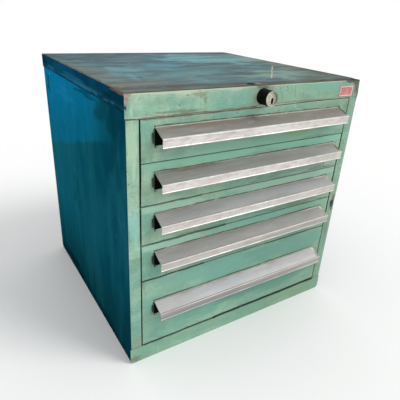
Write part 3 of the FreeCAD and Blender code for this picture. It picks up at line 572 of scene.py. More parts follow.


# %% [markdown]
# ### Blue-green sides
# The side is a deep blue-green, darker towards the front and the floor. Above a slanting line at the back
# it is painted a brighter blue: a painted pool of light. The line is a plane in space, written as a height
# that falls towards the back, and noise blurs it a little.

# %% Side finish
SIDE_PAINTED_LIGHT = (8, 120, 166)
SIDE_DULL = (22, 94, 108)
SIDE_DARK = (2, 64, 80)
SIDE_FOOT = (6, 52, 60)
FLANGE_BLUE = (9, 56, 84)
FLANGE_WORN = (62, 128, 146)
LIT_LINE_FROM = 0.413
LIT_LINE_SLOPE = 0.29


def side_finish_group():
    coat, edge, skin = new_finish("Blue-green side")
    _, y, z = coat.place.parts()
    coat.color = coat.mix(y.between(REAR, FRONT), (14, 96, 116), SIDE_DARK)
    coat.layer(coat.patches(0.16, 0.5, 0.4, (1, 1, 0.6)) * 0.6, SIDE_DULL)
    # Above the slanting line the side is painted brighter, more so higher up and away from the front: a
    # painted pool of light.
    wobble = (coat.cloud(coat.place, 0.05) - 0.5) * 0.02
    over = z - ((REAR - y) * LIT_LINE_SLOPE + LIT_LINE_FROM) + wobble
    tone = coat.mix(over.between(0.0, 0.22), (8, 104, 134), SIDE_PAINTED_LIGHT)
    coat.layer(over.between(-0.004, 0.010) * y.between(FRONT + 0.06, FRONT + 0.26), tone)
    coat.layer(z.between(0.0, 0.30, 0.9, 0.0), SIDE_FOOT)
    coat.layer(coat.patches(0.035, 0.4, 0.35, (1, 1, 0.12)) * 0.16, (40, 116, 130))
    coat.layer(skin["Tone"].between(0.0, 1.0, 0.16, 0.0), SIDE_DARK)
    border = coat.worn(edge, 0.006, 0.6)
    coat.layer(border * 0.5, (10, 36, 44))
    chips = coat.chips(0.06, 0.12, 0.05)
    coat.layer(chips * 0.6, SOOT)
    coat.layer(coat.scratches(0.16, 0.3, (1, 1, 0.3)) * 0.2, FLANGE_WORN)
    rough = coat.mix_value(border, skin["Roughness"], 0.7)
    return coat.give(Color=coat.color, Roughness=rough, Height=skin["Height"] - chips * 0.4)


def flange_finish_group():
    """The cover's side flange, darker than the wall; its pale low band is worn paint and painted
    highlight.
    """
    coat, _, skin = new_finish("Cover flange")
    z = coat.place.parts()[2]
    coat.color = coat.mix(coat.patches(0.07, 0.5, 0.4, (1, 1, 1.6)) * 0.7, FLANGE_BLUE, (8, 72, 92))
    low = TOP - COVER_FLANGE
    # The pale band just above the flange's lower edge: partly paint rubbed through, partly painted
    # highlight.
    band = z.between(low + 0.002, low + 0.005) * z.between(low + 0.006, low + 0.017, 1.0, 0.0)
    rubbed = coat.patches(0.06, 0.5, 0.3, (1, 1, 4)) * band
    coat.layer(rubbed * 0.6, FLANGE_WORN)
    coat.layer(coat.worn(TOP - z, 0.004, 0.5) * 0.7, (92, 122, 124))
    return coat.give(Color=coat.color, Roughness=skin["Roughness"], Height=skin["Height"] - rubbed * 0.3)


def on_side(deep, height):
    """A place on the left side: from the front and from the floor, in millimetres."""
    return (LEFT, FRONT + deep * MM, height * MM)


SIDE_FINISH = side_finish_group()
FLANGE_FINISH = flange_finish_group()
SIDE_SPOTS = spots_at(on_side, [
    ((612, 612), (50, 18, 30), 0.7, 0.6, (4, 58, 78)),
    ((640, 560), (50, 14, 50), 0.7, 0.5, (4, 62, 84)),
    ((440, 618), (50, 100, 20), 0.6, 0.35, (30, 130, 170)),
    ((100, 640), (50, 100, 50), 0.5, 0.45, (3, 46, 62)),
    ((250, 654), (50, 100, 10), 0.6, 0.6, (4, 54, 76)),
    ((60, 560), (50, 50, 100), 0.7, 0.5, (4, 58, 72)),
    ((390, 325), (50, 50, 60), 0.8, 0.4, (6, 66, 78)),
    ((500, 30), (50, 200, 20), 0.7, 0.7, (4, 30, 34)),
    ((200, 20), (50, 120, 16), 0.7, 0.6, (6, 34, 38)),
    ((330, 200), (50, 25, 200), 0.5, 0.35, (22, 94, 106)),
])
FLANGE_SPOTS = spots_at(on_side, [
    ((420, 690), (50, 120, 30), 0.6, 0.7, (16, 78, 110)),
    ((330, 674), (50, 160, 10), 0.6, 0.5, (34, 106, 142)),
    ((560, 670), (50, 70, 8), 0.5, 0.5, (30, 98, 134)),
    ((40, 682), (50, 90, 24), 0.5, 0.7, (6, 42, 60)),
    ((640, 682), (50, 50, 30), 0.5, 0.6, (6, 44, 66)),
    ((30, 698), (50, 50, 4), 0.5, 0.7, (120, 96, 84)),
])


# %% [markdown]
# ### Rubbed top
# The top has been a workbench. Tools wore it to a grey-blue skin with turquoise islands, brown along the
# borders, and one long pale gouge crosses its right half. Broad spots set the zones, and patches and
# scratches along the width break them up.

# %% Top finish
def on_top(across, deep):
    """A place on the top: from the left edge and from the front edge, in millimetres."""
    return (LEFT + across * MM, FRONT + deep * MM, TOP)


TOP_ZONES = spots_at(on_top, [
    ((110, 600), (260, 120, 100), 0.6, 0.8, (86, 94, 98)),
    ((120, 470), (160, 100, 100), 0.6, 0.7, (88, 116, 126)),
    ((330, 470), (120, 160, 100), 0.6, 0.7, (86, 118, 128)),
    ((440, 500), (140, 130, 100), 0.5, 0.85, (124, 170, 178)),
    ((560, 450), (140, 130, 100), 0.6, 0.8, (126, 172, 172)),
    ((660, 450), (60, 140, 100), 0.6, 0.7, (136, 162, 156)),
    ((255, 330), (100, 80, 100), 0.7, 0.75, (104, 148, 164)),
    ((110, 260), (80, 120, 100), 0.7, 0.8, (116, 156, 162)),
    ((260, 190), (160, 120, 100), 0.7, 0.65, (108, 146, 148)),
    ((520, 140), (150, 90, 100), 0.6, 0.75, (138, 166, 150)),
    ((420, 290), (140, 80, 100), 0.7, 0.6, (98, 126, 126)),
    ((650, 220), (70, 240, 100), 0.6, 0.8, (122, 130, 118)),
    ((30, 220), (50, 300, 100), 0.6, 0.7, (118, 124, 120)),
    ((70, 96), (120, 50, 100), 0.7, 0.75, (134, 132, 122)),
    ((400, 16), (460, 42, 100), 0.6, 0.85, (94, 90, 80)),
    ((70, 44), (200, 60, 100), 0.7, 0.8, (108, 99, 84)),
    ((320, 640), (400, 30, 100), 0.5, 0.6, (88, 98, 106)),
    ((600, 50), (110, 60, 100), 0.6, 0.8, (108, 112, 100)),
    ((672, 130), (35, 160, 100), 0.6, 0.8, (98, 102, 92)),
])
TOP_SPOTS = spots_at(on_top, [
    ((326, 25), (13, 12, 20), 0.35, 0.97, (20, 24, 20)),
    ((350, 27), (8, 10, 20), 0.5, 0.7, (160, 156, 140)),
    ((108, 165), (10, 16, 20), 0.4, 0.7, (84, 104, 112)),
    ((640, 12), (90, 20, 20), 0.7, 0.8, (86, 82, 72)),
    ((676, 6), (30, 12, 20), 0.5, 0.85, (58, 58, 52)),
    ((560, 16), (20, 10, 20), 0.6, 0.7, (64, 66, 58)),
    ((686, 90), (12, 120, 20), 0.7, 0.7, (84, 82, 72)),
])
TOP_STROKES = strokes_at(on_top, [((442, 84), (620, 284), 3, 0.85, (182, 178, 168))])


def top_finish_group():
    coat, edge, skin = new_finish("Rubbed top")
    coat.color = coat.mix(skin["Tone"], (94, 114, 118), (106, 126, 130))
    coat.spots(TOP_ZONES)
    worn = coat.patches(0.035, 0.45, 0.3, (0.35, 1, 1))
    coat.layer(worn * 0.3, (124, 154, 160))
    coat.layer(coat.patches(0.05, 0.35, 0.3, (0.3, 1.2, 1)) * 0.45, (76, 86, 84))
    coat.layer(coat.worn(edge, 0.009, 0.85) * 0.7, (88, 84, 74))
    lines = coat.scratches(0.06, 0.6, (0.3, 1, 1))
    coat.layer(lines * 0.3, (158, 172, 168))
    coat.layer(coat.chips(0.05, 0.2, 0.06) * 0.6, (60, 62, 58))
    rough = skin["Roughness"] + worn * 0.12
    return coat.give(Color=coat.color, Roughness=rough, Height=skin["Height"] - lines * 0.15)


TOP_FINISH = top_finish_group()


# %% [markdown]
# ### Enamel materials
# A pressed piece gets one material for each direction that its sheet faces, so a folded corner changes
# from mint to blue within its bend, as a mask would leave it. The material asks the edge group how far
# the nearest fold is, with the piece's own box. Single marks are kept in lists with their places, and
# each piece takes those that lie on it.

# %% Enamel material
ENAMEL_DEPTH = 0.8 * MM
STROKE_MARGIN = (0.008, 0.008, 0.008)
ENAMEL_SHEEN = {"front": 0.12, "side": 0.0, "flange": 0.0, "top": 0.0}
LOOKS = {
    "front": (FRONT_FINISH, FRONT_SPOTS, FRONT_STROKES),
    "side": (SIDE_FINISH, SIDE_SPOTS, []),
    "flange": (FLANGE_FINISH, FLANGE_SPOTS, []),
    "top": (TOP_FINISH, TOP_SPOTS, TOP_STROKES),
}


def lies_on(low, high, near, far, margin):
    """Whether the box between a mark's two ends, widened by a margin, meets the piece's box."""
    for axis in range(3):
        first, last = sorted((near[axis], far[axis]))
        if first - margin[axis] > high[axis] or last + margin[axis] < low[axis]:
            return False
    return True


def add_look(coat, look, low, high):
    """Give a coat one look, with the marks that lie on the piece. Gives back roughness and height."""
    finish, spots, strokes = LOOKS[look]
    edge = coat.group(EDGE, Place=coat.place, Low=tuple(low), High=tuple(high))
    made = coat.group(finish, Place=coat.place, Edge=edge)
    coat.color, height = made["Color"], made["Height"]
    coat.spots(spot for spot in spots if lies_on(low, high, spot[0], spot[0], spot[1]))
    for begin, end, width, share, color in strokes:
        if lies_on(low, high, begin, end, STROKE_MARGIN):
            stroke = coat.group(STROKE, Place=coat.place, Start=begin, End=end, Width=width)
            coat.layer(stroke * share, color)
            height = height - stroke * 0.4
    return made["Roughness"], height


def enamel(name, low, high, look):
    """Enamel with one look for the piece inside that box."""
    coat = new_coat(f"{name}_{look}")
    rough, height = add_look(coat, look, low, high)
    return coat.shade(rough, height, ENAMEL_DEPTH, sheen=ENAMEL_SHEEN[look])


def enamel_set(name, low, high, side="side", top="front"):
    """Materials for the faces of a piece that look to the front, to a side and up."""
    return [enamel(name, low, high, look) for look in ("front", side, top)]


# %% [markdown]
# ## Working a sheet of steel
# All the large pieces are folded sheets. Each starts as a box or as an open line that is drawn out, gets
# its bends with the bevel operator, and is then cut into rows, because a flat face with corners only
# can't bulge or dent. The thickness comes last, from a Solidify modifier that grows inwards.

# %% Helpers for folded sheet
def block(mesh, low, high):
    """Add a box between two corners."""
    size = high - low
    place = Matrix.Translation((low + high) / 2) @ Matrix.Diagonal((*size, 1))
    bmesh.ops.create_cube(mesh, size=1, matrix=place)


def edges_where(mesh, test):
    """Edges whose middle point passes a test."""
    return [edge for edge in mesh.edges if test((edge.verts[0].co + edge.verts[1].co) / 2, edge)]


def runs_along(edge, axis):
    run = edge.verts[1].co - edge.verts[0].co
    return abs(run[axis]) > 0.99 * run.length


def bend(mesh, edges, radius, segments=3):
    bmesh.ops.bevel(
        mesh,
        geom=edges,
        offset=radius,
        segments=segments,
        profile=0.5,
        affect="EDGES",
        material=-1,
        clamp_overlap=True,
    )


def cut_at(mesh, axis, *places):
    """Cut every face where it crosses planes square to one axis."""
    for place in places:
        point = Vector()
        point[axis] = place
        normal = Vector()
        normal[axis] = 1
        everything = mesh.verts[:] + mesh.edges[:] + mesh.faces[:]
        bmesh.ops.bisect_plane(mesh, geom=everything, plane_co=point, plane_no=normal, dist=1e-6)


def cut_rows(mesh, axis, low, high, pitch):
    """Cut rows about one pitch wide between two places."""
    rows = max(1, round((high - low) / pitch))
    cut_at(mesh, axis, *[low + (high - low) * number / rows for number in range(1, rows)])


def drop_faces(mesh, test):
    """Delete the faces whose centre passes a test."""
    doomed = [face for face in mesh.faces if test(face.calc_center_median(), face)]
    bmesh.ops.delete(mesh, geom=doomed, context="FACES")


def draw_out(mesh, edges, way):
    """Draw a line of edges out into a wall, and give back the wall's far edges."""
    drawn = bmesh.ops.extrude_edge_only(mesh, edges=edges)["geom"]
    moved = [item for item in drawn if isinstance(item, bmesh.types.BMVert)]
    bmesh.ops.translate(mesh, verts=moved, vec=way)
    return [item for item in drawn if isinstance(item, bmesh.types.BMEdge)]


def dent(mesh, centre, reach, push):
    """Push the sheet some millimetres round a point: most at the point, nothing at the reach."""
    for vert in mesh.verts:
        share = 1 - min(1.0, (vert.co - Vector(centre)).length / reach)
        vert.co += Vector(push) * MM * share * share * (3 - 2 * share)


def bulge(mesh, axis, plane, inward, low, high, depth, size, margin):
    """Let a flat wall wave inwards a little, as rolled sheet does, and keep its borders straight."""
    others = [other for other in range(3) if other != axis]
    for vert in mesh.verts:
        if abs(vert.co[axis] - plane) > 1e-5:
            continue
        border = min(min(vert.co[other] - low[other], high[other] - vert.co[other]) for other in others)
        share = max(0.0, min(1.0, border / margin))
        wave = 0.5 + 0.5 * noise.noise(vert.co / size)
        vert.co[axis] += inward * depth * share * max(0.0, wave)


def sort_faces(mesh):
    """Number the faces by direction: 0 to the front, 1 to a side or the rear, 2 up."""
    for face in mesh.faces:
        outward = math.copysign(face.normal.x, face.normal.x * face.calc_center_median().x)
        face.material_index = 0
        if max(outward, face.normal.y) > 0.7:
            face.material_index = 1
        elif face.normal.z > 0.7:
            face.material_index = 2


def place_piece(name, mesh, materials, body, nodes=(), wall=0.0, crease=30):
    """Turn a bmesh into a piece that rides on a body and stands for its steel."""
    mesh.normal_update()
    if len(materials) > 1:
        sort_faces(mesh)
    data = bpy.data.meshes.new(name)
    mesh.to_mesh(data)
    mesh.free()
    for material in materials:
        data.materials.append(material)
    data.shade_smooth()
    data.set_sharp_from_angle(angle=math.radians(crease))
    piece = bpy.data.objects.new(name, data)
    bpy.context.scene.collection.objects.link(piece)
    if wall:
        solid = piece.modifiers.new("Thickness", "SOLIDIFY")
        solid.thickness = wall
        solid.offset = -1
        solid.use_even_offset = True
    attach(piece, body)
    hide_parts(*nodes)
    print(name, len(data.polygons), "faces")
    return piece


# %% [markdown]
# ## Top cover
# The cover is one pressed lid. Its front flange is the header with the lock, it wraps a few millimetres
# round the corner, and its other flanges are shallower. We start from a box, open it below, and cut away
# the part of the side walls that the real flange doesn't have. The lock's hole starts as a square patch:
# its outline is divided and inset, and the new ring is pulled to a circle.

# %% The seam under the header
SEAM_SAG = 5.5 * MM
SEAM_SAG_END = LEFT + 520 * MM
SEAM_SAG_ABOVE = 40 * MM
SEAM_SAG_BELOW = 18 * MM


def sag_seam(mesh):
    """Lower the seam under the header towards the left, as the worn header hangs there."""
    for vert in mesh.verts:
        if vert.co.y > FRONT + 2 * COVER_WRAP:
            continue
        along = max(0.0, min(1.0, (vert.co.x - LEFT) / (SEAM_SAG_END - LEFT)))
        above = vert.co.z - HEADER_BOTTOM
        fade = above / SEAM_SAG_ABOVE if above > 0 else -above / SEAM_SAG_BELOW
        vert.co.z -= SEAM_SAG * (1 - along * along) * max(0.0, 1 - fade)


# %% Top cover
def open_hole(mesh, centre, radius, margin):
    """Open a round hole in the front wall."""
    for axis in (0, 2):
        cut_at(mesh, axis, centre[axis] - margin, centre[axis] + margin)
    patch = [
        face
        for face in mesh.faces
        if (face.calc_center_median() - centre).length < margin / 2 and abs(face.normal.y) > 0.9
    ][0]
    bmesh.ops.subdivide_edges(mesh, edges=patch.edges[:], cuts=7)
    patch = min(mesh.faces, key=lambda face: (face.calc_center_median() - centre).length)
    bmesh.ops.inset_region(mesh, faces=[patch], thickness=(margin - radius) / 2)
    for vert in patch.verts:
        away = vert.co - centre
        away.y = 0
        vert.co = centre + away.normalized() * radius
    bmesh.ops.delete(mesh, geom=[patch], context="FACES_ONLY")


LOCK_HOLE = 14 * MM
LOCK_PATCH = 17.5 * MM
HEADER_RETURN = 12 * MM


def make_cover():
    low, high = cover_low, cover_high
    flange = high.z - COVER_FLANGE
    mesh = bmesh.new()
    block(mesh, low, high)
    drop_faces(mesh, lambda centre, face: face.normal.z < -0.5)
    bend(mesh, edges_where(mesh, lambda middle, edge: middle.z > low.z), BEND)
    open_hole(mesh, LOCK, LOCK_HOLE, LOCK_PATCH)
    cut_at(mesh, 2, flange)
    cut_at(mesh, 1, low.y + COVER_WRAP)
    drop_faces(mesh, lambda centre, face: centre.z < flange and centre.y > low.y + COVER_WRAP)
    cut_rows(mesh, 0, low.x, high.x, pitch=22 * MM)
    cut_rows(mesh, 1, low.y + COVER_WRAP, high.y, pitch=22 * MM)
    rim = edges_where(mesh, lambda middle, edge: middle.z < low.z + 1e-5 and middle.y < low.y + 1e-5)
    rim = [edge for edge in rim if runs_along(edge, 0)]
    draw_out(mesh, rim, (0, HEADER_RETURN, 0))
    bulge(mesh, 2, high.z, -1, low, high, depth=1.6 * MM, size=160 * MM, margin=50 * MM)
    sag_seam(mesh)
    dent(mesh, on_top(684, 4), reach=30 * MM, push=(-2, 1.5, -3))
    dent(mesh, on_top(500, 2), reach=50 * MM, push=(0, 0.6, -0.6))
    coats = enamel_set("cover", low, high, side="flange", top="top")
    place_piece("cover", mesh, coats, "carcase", ["top_cover"], CASE_SHEET)


make_cover()

# %% [markdown]
# ## Side panels
# Each side is a long sheet folded round the front corner into the stile, and again behind it. In plan it
# is one open line, so it is drawn as a line and extruded upwards. The stile is shorter than the wall,
# because the header and the base strip lie over the wall's corner there.

# %% Side panels
STILE_RETURN = 20 * MM
REAR_FLANGE = 18.5 * MM
SEAM = 0.4 * MM


def face_outwards(mesh, sample, outward):
    """Turn all faces over if the face nearest to a place doesn't point outwards."""
    nearest = min(mesh.faces, key=lambda face: (face.calc_center_median() - sample).length)
    if nearest.normal.dot(outward) < 0:
        bmesh.ops.reverse_faces(mesh, faces=mesh.faces[:])


def make_side(side_name, sign):
    node = f"side_panel_{side_name}"
    low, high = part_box(node)
    base_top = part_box("bottom_pan")[1].z
    outer = high.x if sign > 0 else low.x
    inner = low.x if sign > 0 else high.x
    plan = [
        (inner, low.y + STILE_RETURN),
        (inner, low.y),
        (outer, low.y),
        (outer, high.y),
        (outer - sign * REAR_FLANGE, high.y),
    ]
    mesh = bmesh.new()
    corners = [mesh.verts.new((x, y, low.z)) for x, y in plan]
    line = [mesh.edges.new(pair) for pair in zip(corners, corners[1:])]
    draw_out(mesh, line, (0, 0, high.z - low.z))
    bmesh.ops.recalc_face_normals(mesh, faces=mesh.faces[:])
    wall_middle = Vector((outer, (low.y + high.y) / 2, (low.z + high.z) / 2))
    face_outwards(mesh, wall_middle, Vector((sign, 0, 0)))
    folds = edges_where(mesh, lambda middle, edge: runs_along(edge, 2) and len(edge.link_faces) == 2)
    bend(mesh, folds, BEND)
    stile_low, stile_high = base_top + SEAM, HEADER_BOTTOM - SEAM
    notch = low.y + BEND + SEAM
    cut_at(mesh, 2, stile_low, stile_high)
    cut_at(mesh, 1, notch)

    def in_notch(centre, face):
        behind = centre.y > notch and abs(centre.x - outer) < BEND
        return not behind and centre.y < low.y + 0.1 and not stile_low < centre.z < stile_high

    drop_faces(mesh, in_notch)
    cut_rows(mesh, 2, low.z, high.z, pitch=24 * MM)
    cut_rows(mesh, 1, notch, high.y, pitch=24 * MM)
    bulge(mesh, 0, outer, -sign, low, high, depth=1.8 * MM, size=180 * MM, margin=60 * MM)
    sag_seam(mesh)
    if sign < 0:
        dent(mesh, (outer, high.y - 50 * MM, 655 * MM), reach=40 * MM, push=(1.5, 0, 0))
    else:
        dent(mesh, (outer, low.y, 330 * MM), reach=20 * MM, push=(-1, 1.2, 0))
    coats = enamel_set(f"side_{side_name}", low, high)
    place_piece(f"side_{side_name}", mesh, coats, "carcase", [node], CASE_SHEET)


make_side("left", -1)
make_side("right", 1)

# %% [markdown]
# ## Drawer fronts
# A drawer front is a shallow pan: a flat face, four folded edges, and a narrow return behind. The box
# operator gives the block, insetting its rear face leaves the return, and deleting the middle opens the
# pan. Each face waves inwards by well under a millimetre, which is what breaks up its reflections.

# %% Drawer fronts
DRAWER_BEND = 1.1 * MM


def make_front(number):
    node = f"drawer_front_{number}"
    low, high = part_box(node)
    mesh = bmesh.new()
    block(mesh, low, high)
    rear = [face for face in mesh.faces if face.normal.y > 0.5]
    bmesh.ops.inset_region(mesh, faces=rear, thickness=FOLD_RETURN)
    bmesh.ops.delete(mesh, geom=rear, context="FACES_ONLY")
    bend(mesh, edges_where(mesh, lambda middle, edge: middle.y < high.y - 1e-5), DRAWER_BEND)
    cut_rows(mesh, 0, low.x, high.x, pitch=20 * MM)
    cut_rows(mesh, 2, low.z, high.z, pitch=14 * MM)
    bulge(mesh, 1, low.y, 1, low, high, depth=0.9 * MM, size=110 * MM, margin=30 * MM)
    sag_seam(mesh)
    coat = enamel(f"front_{number}", low, high, "front")
    body = f"drawer_{number}"
    place_piece(f"front_{number}", mesh, [coat], body, [node], DRAWER_SHEET)


for drawer in DRAWERS:
    make_front(drawer)

# %% [markdown]
# ## Base
# The base strip keeps its own shape, because the steel already has the rounded lower corners. It is one
# solid with one material, so this material holds two looks and picks one by the surface's direction.

# %% Base
def dress(node, material):
    """Give a steel part another material."""
    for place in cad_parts[node].material_slots:
        place.material = material


def base_enamel():
    low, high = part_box("bottom_pan")
    coat = new_coat("base_enamel")
    front_rough, front_height = add_look(coat, "front", low, high)
    front_color = coat.color
    side_rough, side_height = add_look(coat, "side", low, high)
    across, deep, _ = coat.place["Normal"].parts()
    to_side = coat.math("MAXIMUM", coat.math("ABSOLUTE", across), deep).between(0.6, 0.8)
    coat.color = coat.mix(to_side, front_color, coat.color)
    rough = coat.mix_value(to_side, front_rough, side_rough)
    height = coat.mix_value(to_side, front_height, side_height)
    return coat.shade(rough, height, ENAMEL_DEPTH, sheen=ENAMEL_SHEEN["side"])


dress("bottom_pan", base_enamel())
dress("back_panel", enamel("back_panel", *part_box("back_panel"), "side"))


# %% [markdown]
# ## Pulls
# A pull is an aluminium extrusion as wide as the drawer: a flange on the front, a slope that holds the
# label strip between two beads, and an upright lip for the fingers. A constant section is one closed
# outline drawn out along X. The beads and the lip's edges are then rounded with the bevel operator, and
# the long edges are cut into rows so that the lip can be a little dented.

# %% Sizes of a pull
HANDLE_REACH = 38 * MM
HANDLE_DROP = 17.5 * MM
HANDLE_WALL = 2 * MM
BEAD = 3.5 * MM
STRIP_RECESS = 1.2 * MM
LIP_LEDGE = 0.9 * MM
LIP_HEIGHT = 20 * MM
LIP_WALL = 2.6 * MM
LIP_WAVE = 0.5 * MM
LIP_WAVES = 14
BEAD_LINE = 3.6 * MM
SLOPE = HANDLE_DROP / HANDLE_REACH
UPRIGHT = math.sqrt(1 + SLOPE * SLOPE)


# %% Brushed aluminium
def brushed_group():
    """Fine lines along X, for brushed metal and scuffed plastic."""
    coat, _ = new_group("Brush lines", {"Place": NOWHERE}, ["Tone", "Height"], Coat)
    fine = coat.patches(0.0015, 0.5, 0.5, (0.02, 1, 1))
    coarse = coat.patches(0.006, 0.5, 0.5, (0.06, 1, 1))
    return coat.give(Tone=fine * 0.6 + coarse * 0.4, Height=fine)


BRUSHED = brushed_group()


def at_pull(number, share, deep):
    """A place on a pull's slope: a share of its width from the left, and millimetres from the front."""
    low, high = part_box(f"drawer_handle_{number}")
    return (low.x + (high.x - low.x) * share, FRONT - deep * MM, high.z - deep * MM * SLOPE)


def at_lip(number, share):
    """A place low on a pull's lip, at a share of its width from the left."""
    low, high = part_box(f"drawer_handle_{number}")
    return (low.x + (high.x - low.x) * share, low.y, low.z + 6 * MM)


# Each pull's base tone by drawer, lighter high up and darker low down: painted reflection on the lips.
LIP_SHEEN_LEVELS = {1: 228, 2: 227, 3: 221, 4: 208, 5: 182}
PULL_SPOTS = spots_at(at_lip, [
    ((4, 0.85), (260, 6, 14), 0.4, 0.75, (160, 162, 158)),
    ((5, 0.35), (340, 6, 13), 0.4, 0.85, (148, 150, 152)),
])
PULL_SPOTS += spots_at(at_pull, [
    ((1, 0.2, 8), (120, 10, 20), 0.7, 0.6, (126, 106, 94)),
    ((1, 0.85, 20), (90, 16, 20), 0.7, 0.5, (128, 116, 106)),
    ((1, 1.0, 14), (14, 22, 20), 0.3, 0.9, (92, 84, 74)),
    ((2, 0.995, 16), (12, 18, 20), 0.5, 0.85, (112, 98, 44)),
    ((3, 1.0, 14), (12, 22, 20), 0.4, 0.5, (140, 138, 126)),
    ((4, 1.0, 14), (12, 22, 20), 0.4, 0.5, (140, 138, 126)),
    ((2, 0.15, 4), (120, 6, 20), 0.6, 0.7, (128, 104, 92)),
    ((3, 0.7, 18), (50, 12, 20), 0.4, 0.3, (166, 170, 186)),
    ((1, 0.7, 8), (120, 8, 20), 0.8, 0.5, (122, 112, 104)),
    ((2, 0.5, 22), (140, 10, 20), 0.7, 0.35, (134, 134, 132)),
    ((3, 0.2, 18), (100, 10, 20), 0.6, 0.3, (140, 140, 146)),
    ((4, 0.5, 20), (120, 10, 20), 0.7, 0.4, (178, 170, 170)),
    ((5, 0.35, 18), (120, 12, 20), 0.6, 0.4, (186, 188, 204)),
    ((5, 0.75, 14), (100, 14, 20), 0.8, 0.4, (184, 174, 172)),
])


def add_pull_spots(coat, low, high):
    """Lay on the marks of the list whose middle lies on one pull or strip."""
    margin = (0.001, 0.001, 0.001)
    coat.spots(spot for spot in PULL_SPOTS if lies_on(low, high, spot[0], spot[0], margin))


def pull_material(number, low, high):
    coat = new_coat(f"pull_aluminium_{number}")
    x, y, z = coat.place.parts()
    lines = coat.group(BRUSHED, Place=coat.place)
    level = LIP_SHEEN_LEVELS[number]
    bright = (level + 1, level - 2, level - 6)
    coat.color = coat.mix(lines["Tone"], coat.mix(0.12, bright, SOOT), bright)
    stain = coat.patches(0.03, 0.35, 0.3, (0.5, 1, 1.5))
    coat.layer(stain * 0.28, (150, 140, 128))
    coat.layer(coat.patches(0.008, 0.4, 0.3, (0.4, 1, 1)) * 0.35, (186, 166, 162))
    coat.layer(x.between(0.0, high.x, 0.0, 0.22), (160, 164, 146))
    add_pull_spots(coat, low, high)
    # Faces inside the pull, under its slope and behind its lip, are painted near black: painted shade in
    # the hollow.
    below = high.z - z - (FRONT - y) * SLOPE
    inside = y.between(low.y + 0.0024, low.y + 0.0030) * below.between(0.0024, 0.0030)
    coat.layer(inside, (12, 13, 11))
    from_bead = coat.math("ABSOLUTE", y - (high.y - BEAD_LINE))
    coat.layer(coat.worn(from_bead, 0.0012, 0.9) * 0.7, (120, 100, 88))
    coat.layer(coat.chips(0.02, 0.15, 0.06) * 0.5, (70, 64, 56))
    metal = coat.mix_value(inside, stain.between(0.0, 1.0, 0.9, 0.6), 0.0)
    rough = coat.mix_value(inside, lines["Tone"].between(0.0, 1.0, 0.5, 0.36), 0.95)
    return coat.shade(rough, lines["Height"], 0.00004, metal, 0.02)


# %% Pull shape
def draw_section(section, left, right):
    """A solid with one constant section, drawn out from left to right. A point is (distance, height)."""
    mesh = bmesh.new()
    corners = [mesh.verts.new((left, FRONT - distance, height)) for distance, height in section]
    outline = mesh.faces.new(corners)
    drawn = bmesh.ops.extrude_face_region(mesh, geom=[outline])["geom"]
    moved = [item for item in drawn if isinstance(item, bmesh.types.BMVert)]
    bmesh.ops.translate(mesh, verts=moved, vec=(right - left, 0, 0))
    bmesh.ops.recalc_face_normals(mesh, faces=mesh.faces[:])
    return mesh


def make_pull(number):
    node = f"drawer_handle_{number}"
    low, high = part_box(node)
    recess = STRIP_RECESS * UPRIGHT
    under = recess + HANDLE_WALL * UPRIGHT
    foot = high.z - HANDLE_DROP - LIP_HEIGHT

    def on_slope(distance, below=0.0):
        return (distance, high.z - distance * SLOPE - below)

    section = [
        (0, high.z),
        on_slope(BEAD),
        on_slope(BEAD + 0.2 * MM, recess),
        on_slope(HANDLE_REACH - BEAD - 0.2 * MM, recess),
        on_slope(HANDLE_REACH - BEAD),
        on_slope(HANDLE_REACH),
        (HANDLE_REACH, high.z - HANDLE_DROP - 3.4 * MM),
        (HANDLE_REACH - LIP_LEDGE, high.z - HANDLE_DROP - 4.2 * MM),
        (HANDLE_REACH - LIP_LEDGE, foot + 2.2 * MM),
        (HANDLE_REACH, foot + 1.6 * MM),
        (HANDLE_REACH, foot),
        (HANDLE_REACH - LIP_WALL, foot),
        on_slope(HANDLE_REACH - LIP_WALL, under),
        on_slope(HANDLE_WALL, under),
        (HANDLE_WALL, low.z),
        (0, low.z),
    ]
    mesh = draw_section(section, low.x, high.x)
    long_edges = edges_where(mesh, lambda middle, edge: runs_along(edge, 0))
    bend(mesh, long_edges, 0.35 * MM, segments=2)
    cut_rows(mesh, 0, low.x, high.x, pitch=18 * MM)
    for vert in mesh.verts:
        if vert.co.y < FRONT - 30 * MM:
            lip = max(0.0, (high.z - HANDLE_DROP - 8 * MM - vert.co.z) / (12 * MM))
            wave = noise.noise(Vector((vert.co.x * LIP_WAVES, number * 3.7, 0)))
            vert.co.y += LIP_WAVE * min(1.0, lip) * (1 + wave)
    material = pull_material(number, low, high)
    place_piece(f"pull_{number}", mesh, [material], f"drawer_{number}", [node])


for drawer in DRAWERS:
    make_pull(drawer)

# %% [markdown]
# ## Label strips
# Each slope holds a strip of grey plastic, scuffed and stained. Its tone steps from a brownish grey on the
# top drawer to near white on the lowest: partly brown stain, partly painted reflection of the light that
# each slope catches. It is a thin section drawn out like the pull, and it lies in the shallow channel.

# %% Label strips
STRIP_THICKNESS = 1 * MM
STRIP_FIT = 0.2 * MM
# The strip's tone by drawer: partly brown stain, partly painted reflection that pales from the top drawer
# down.
STRIP_SHEEN_TONES = {
    1: (130, 126, 119),
    2: (146, 146, 141),
    3: (166, 166, 164),
    4: (164, 162, 159),
    5: (205, 203, 204),
}


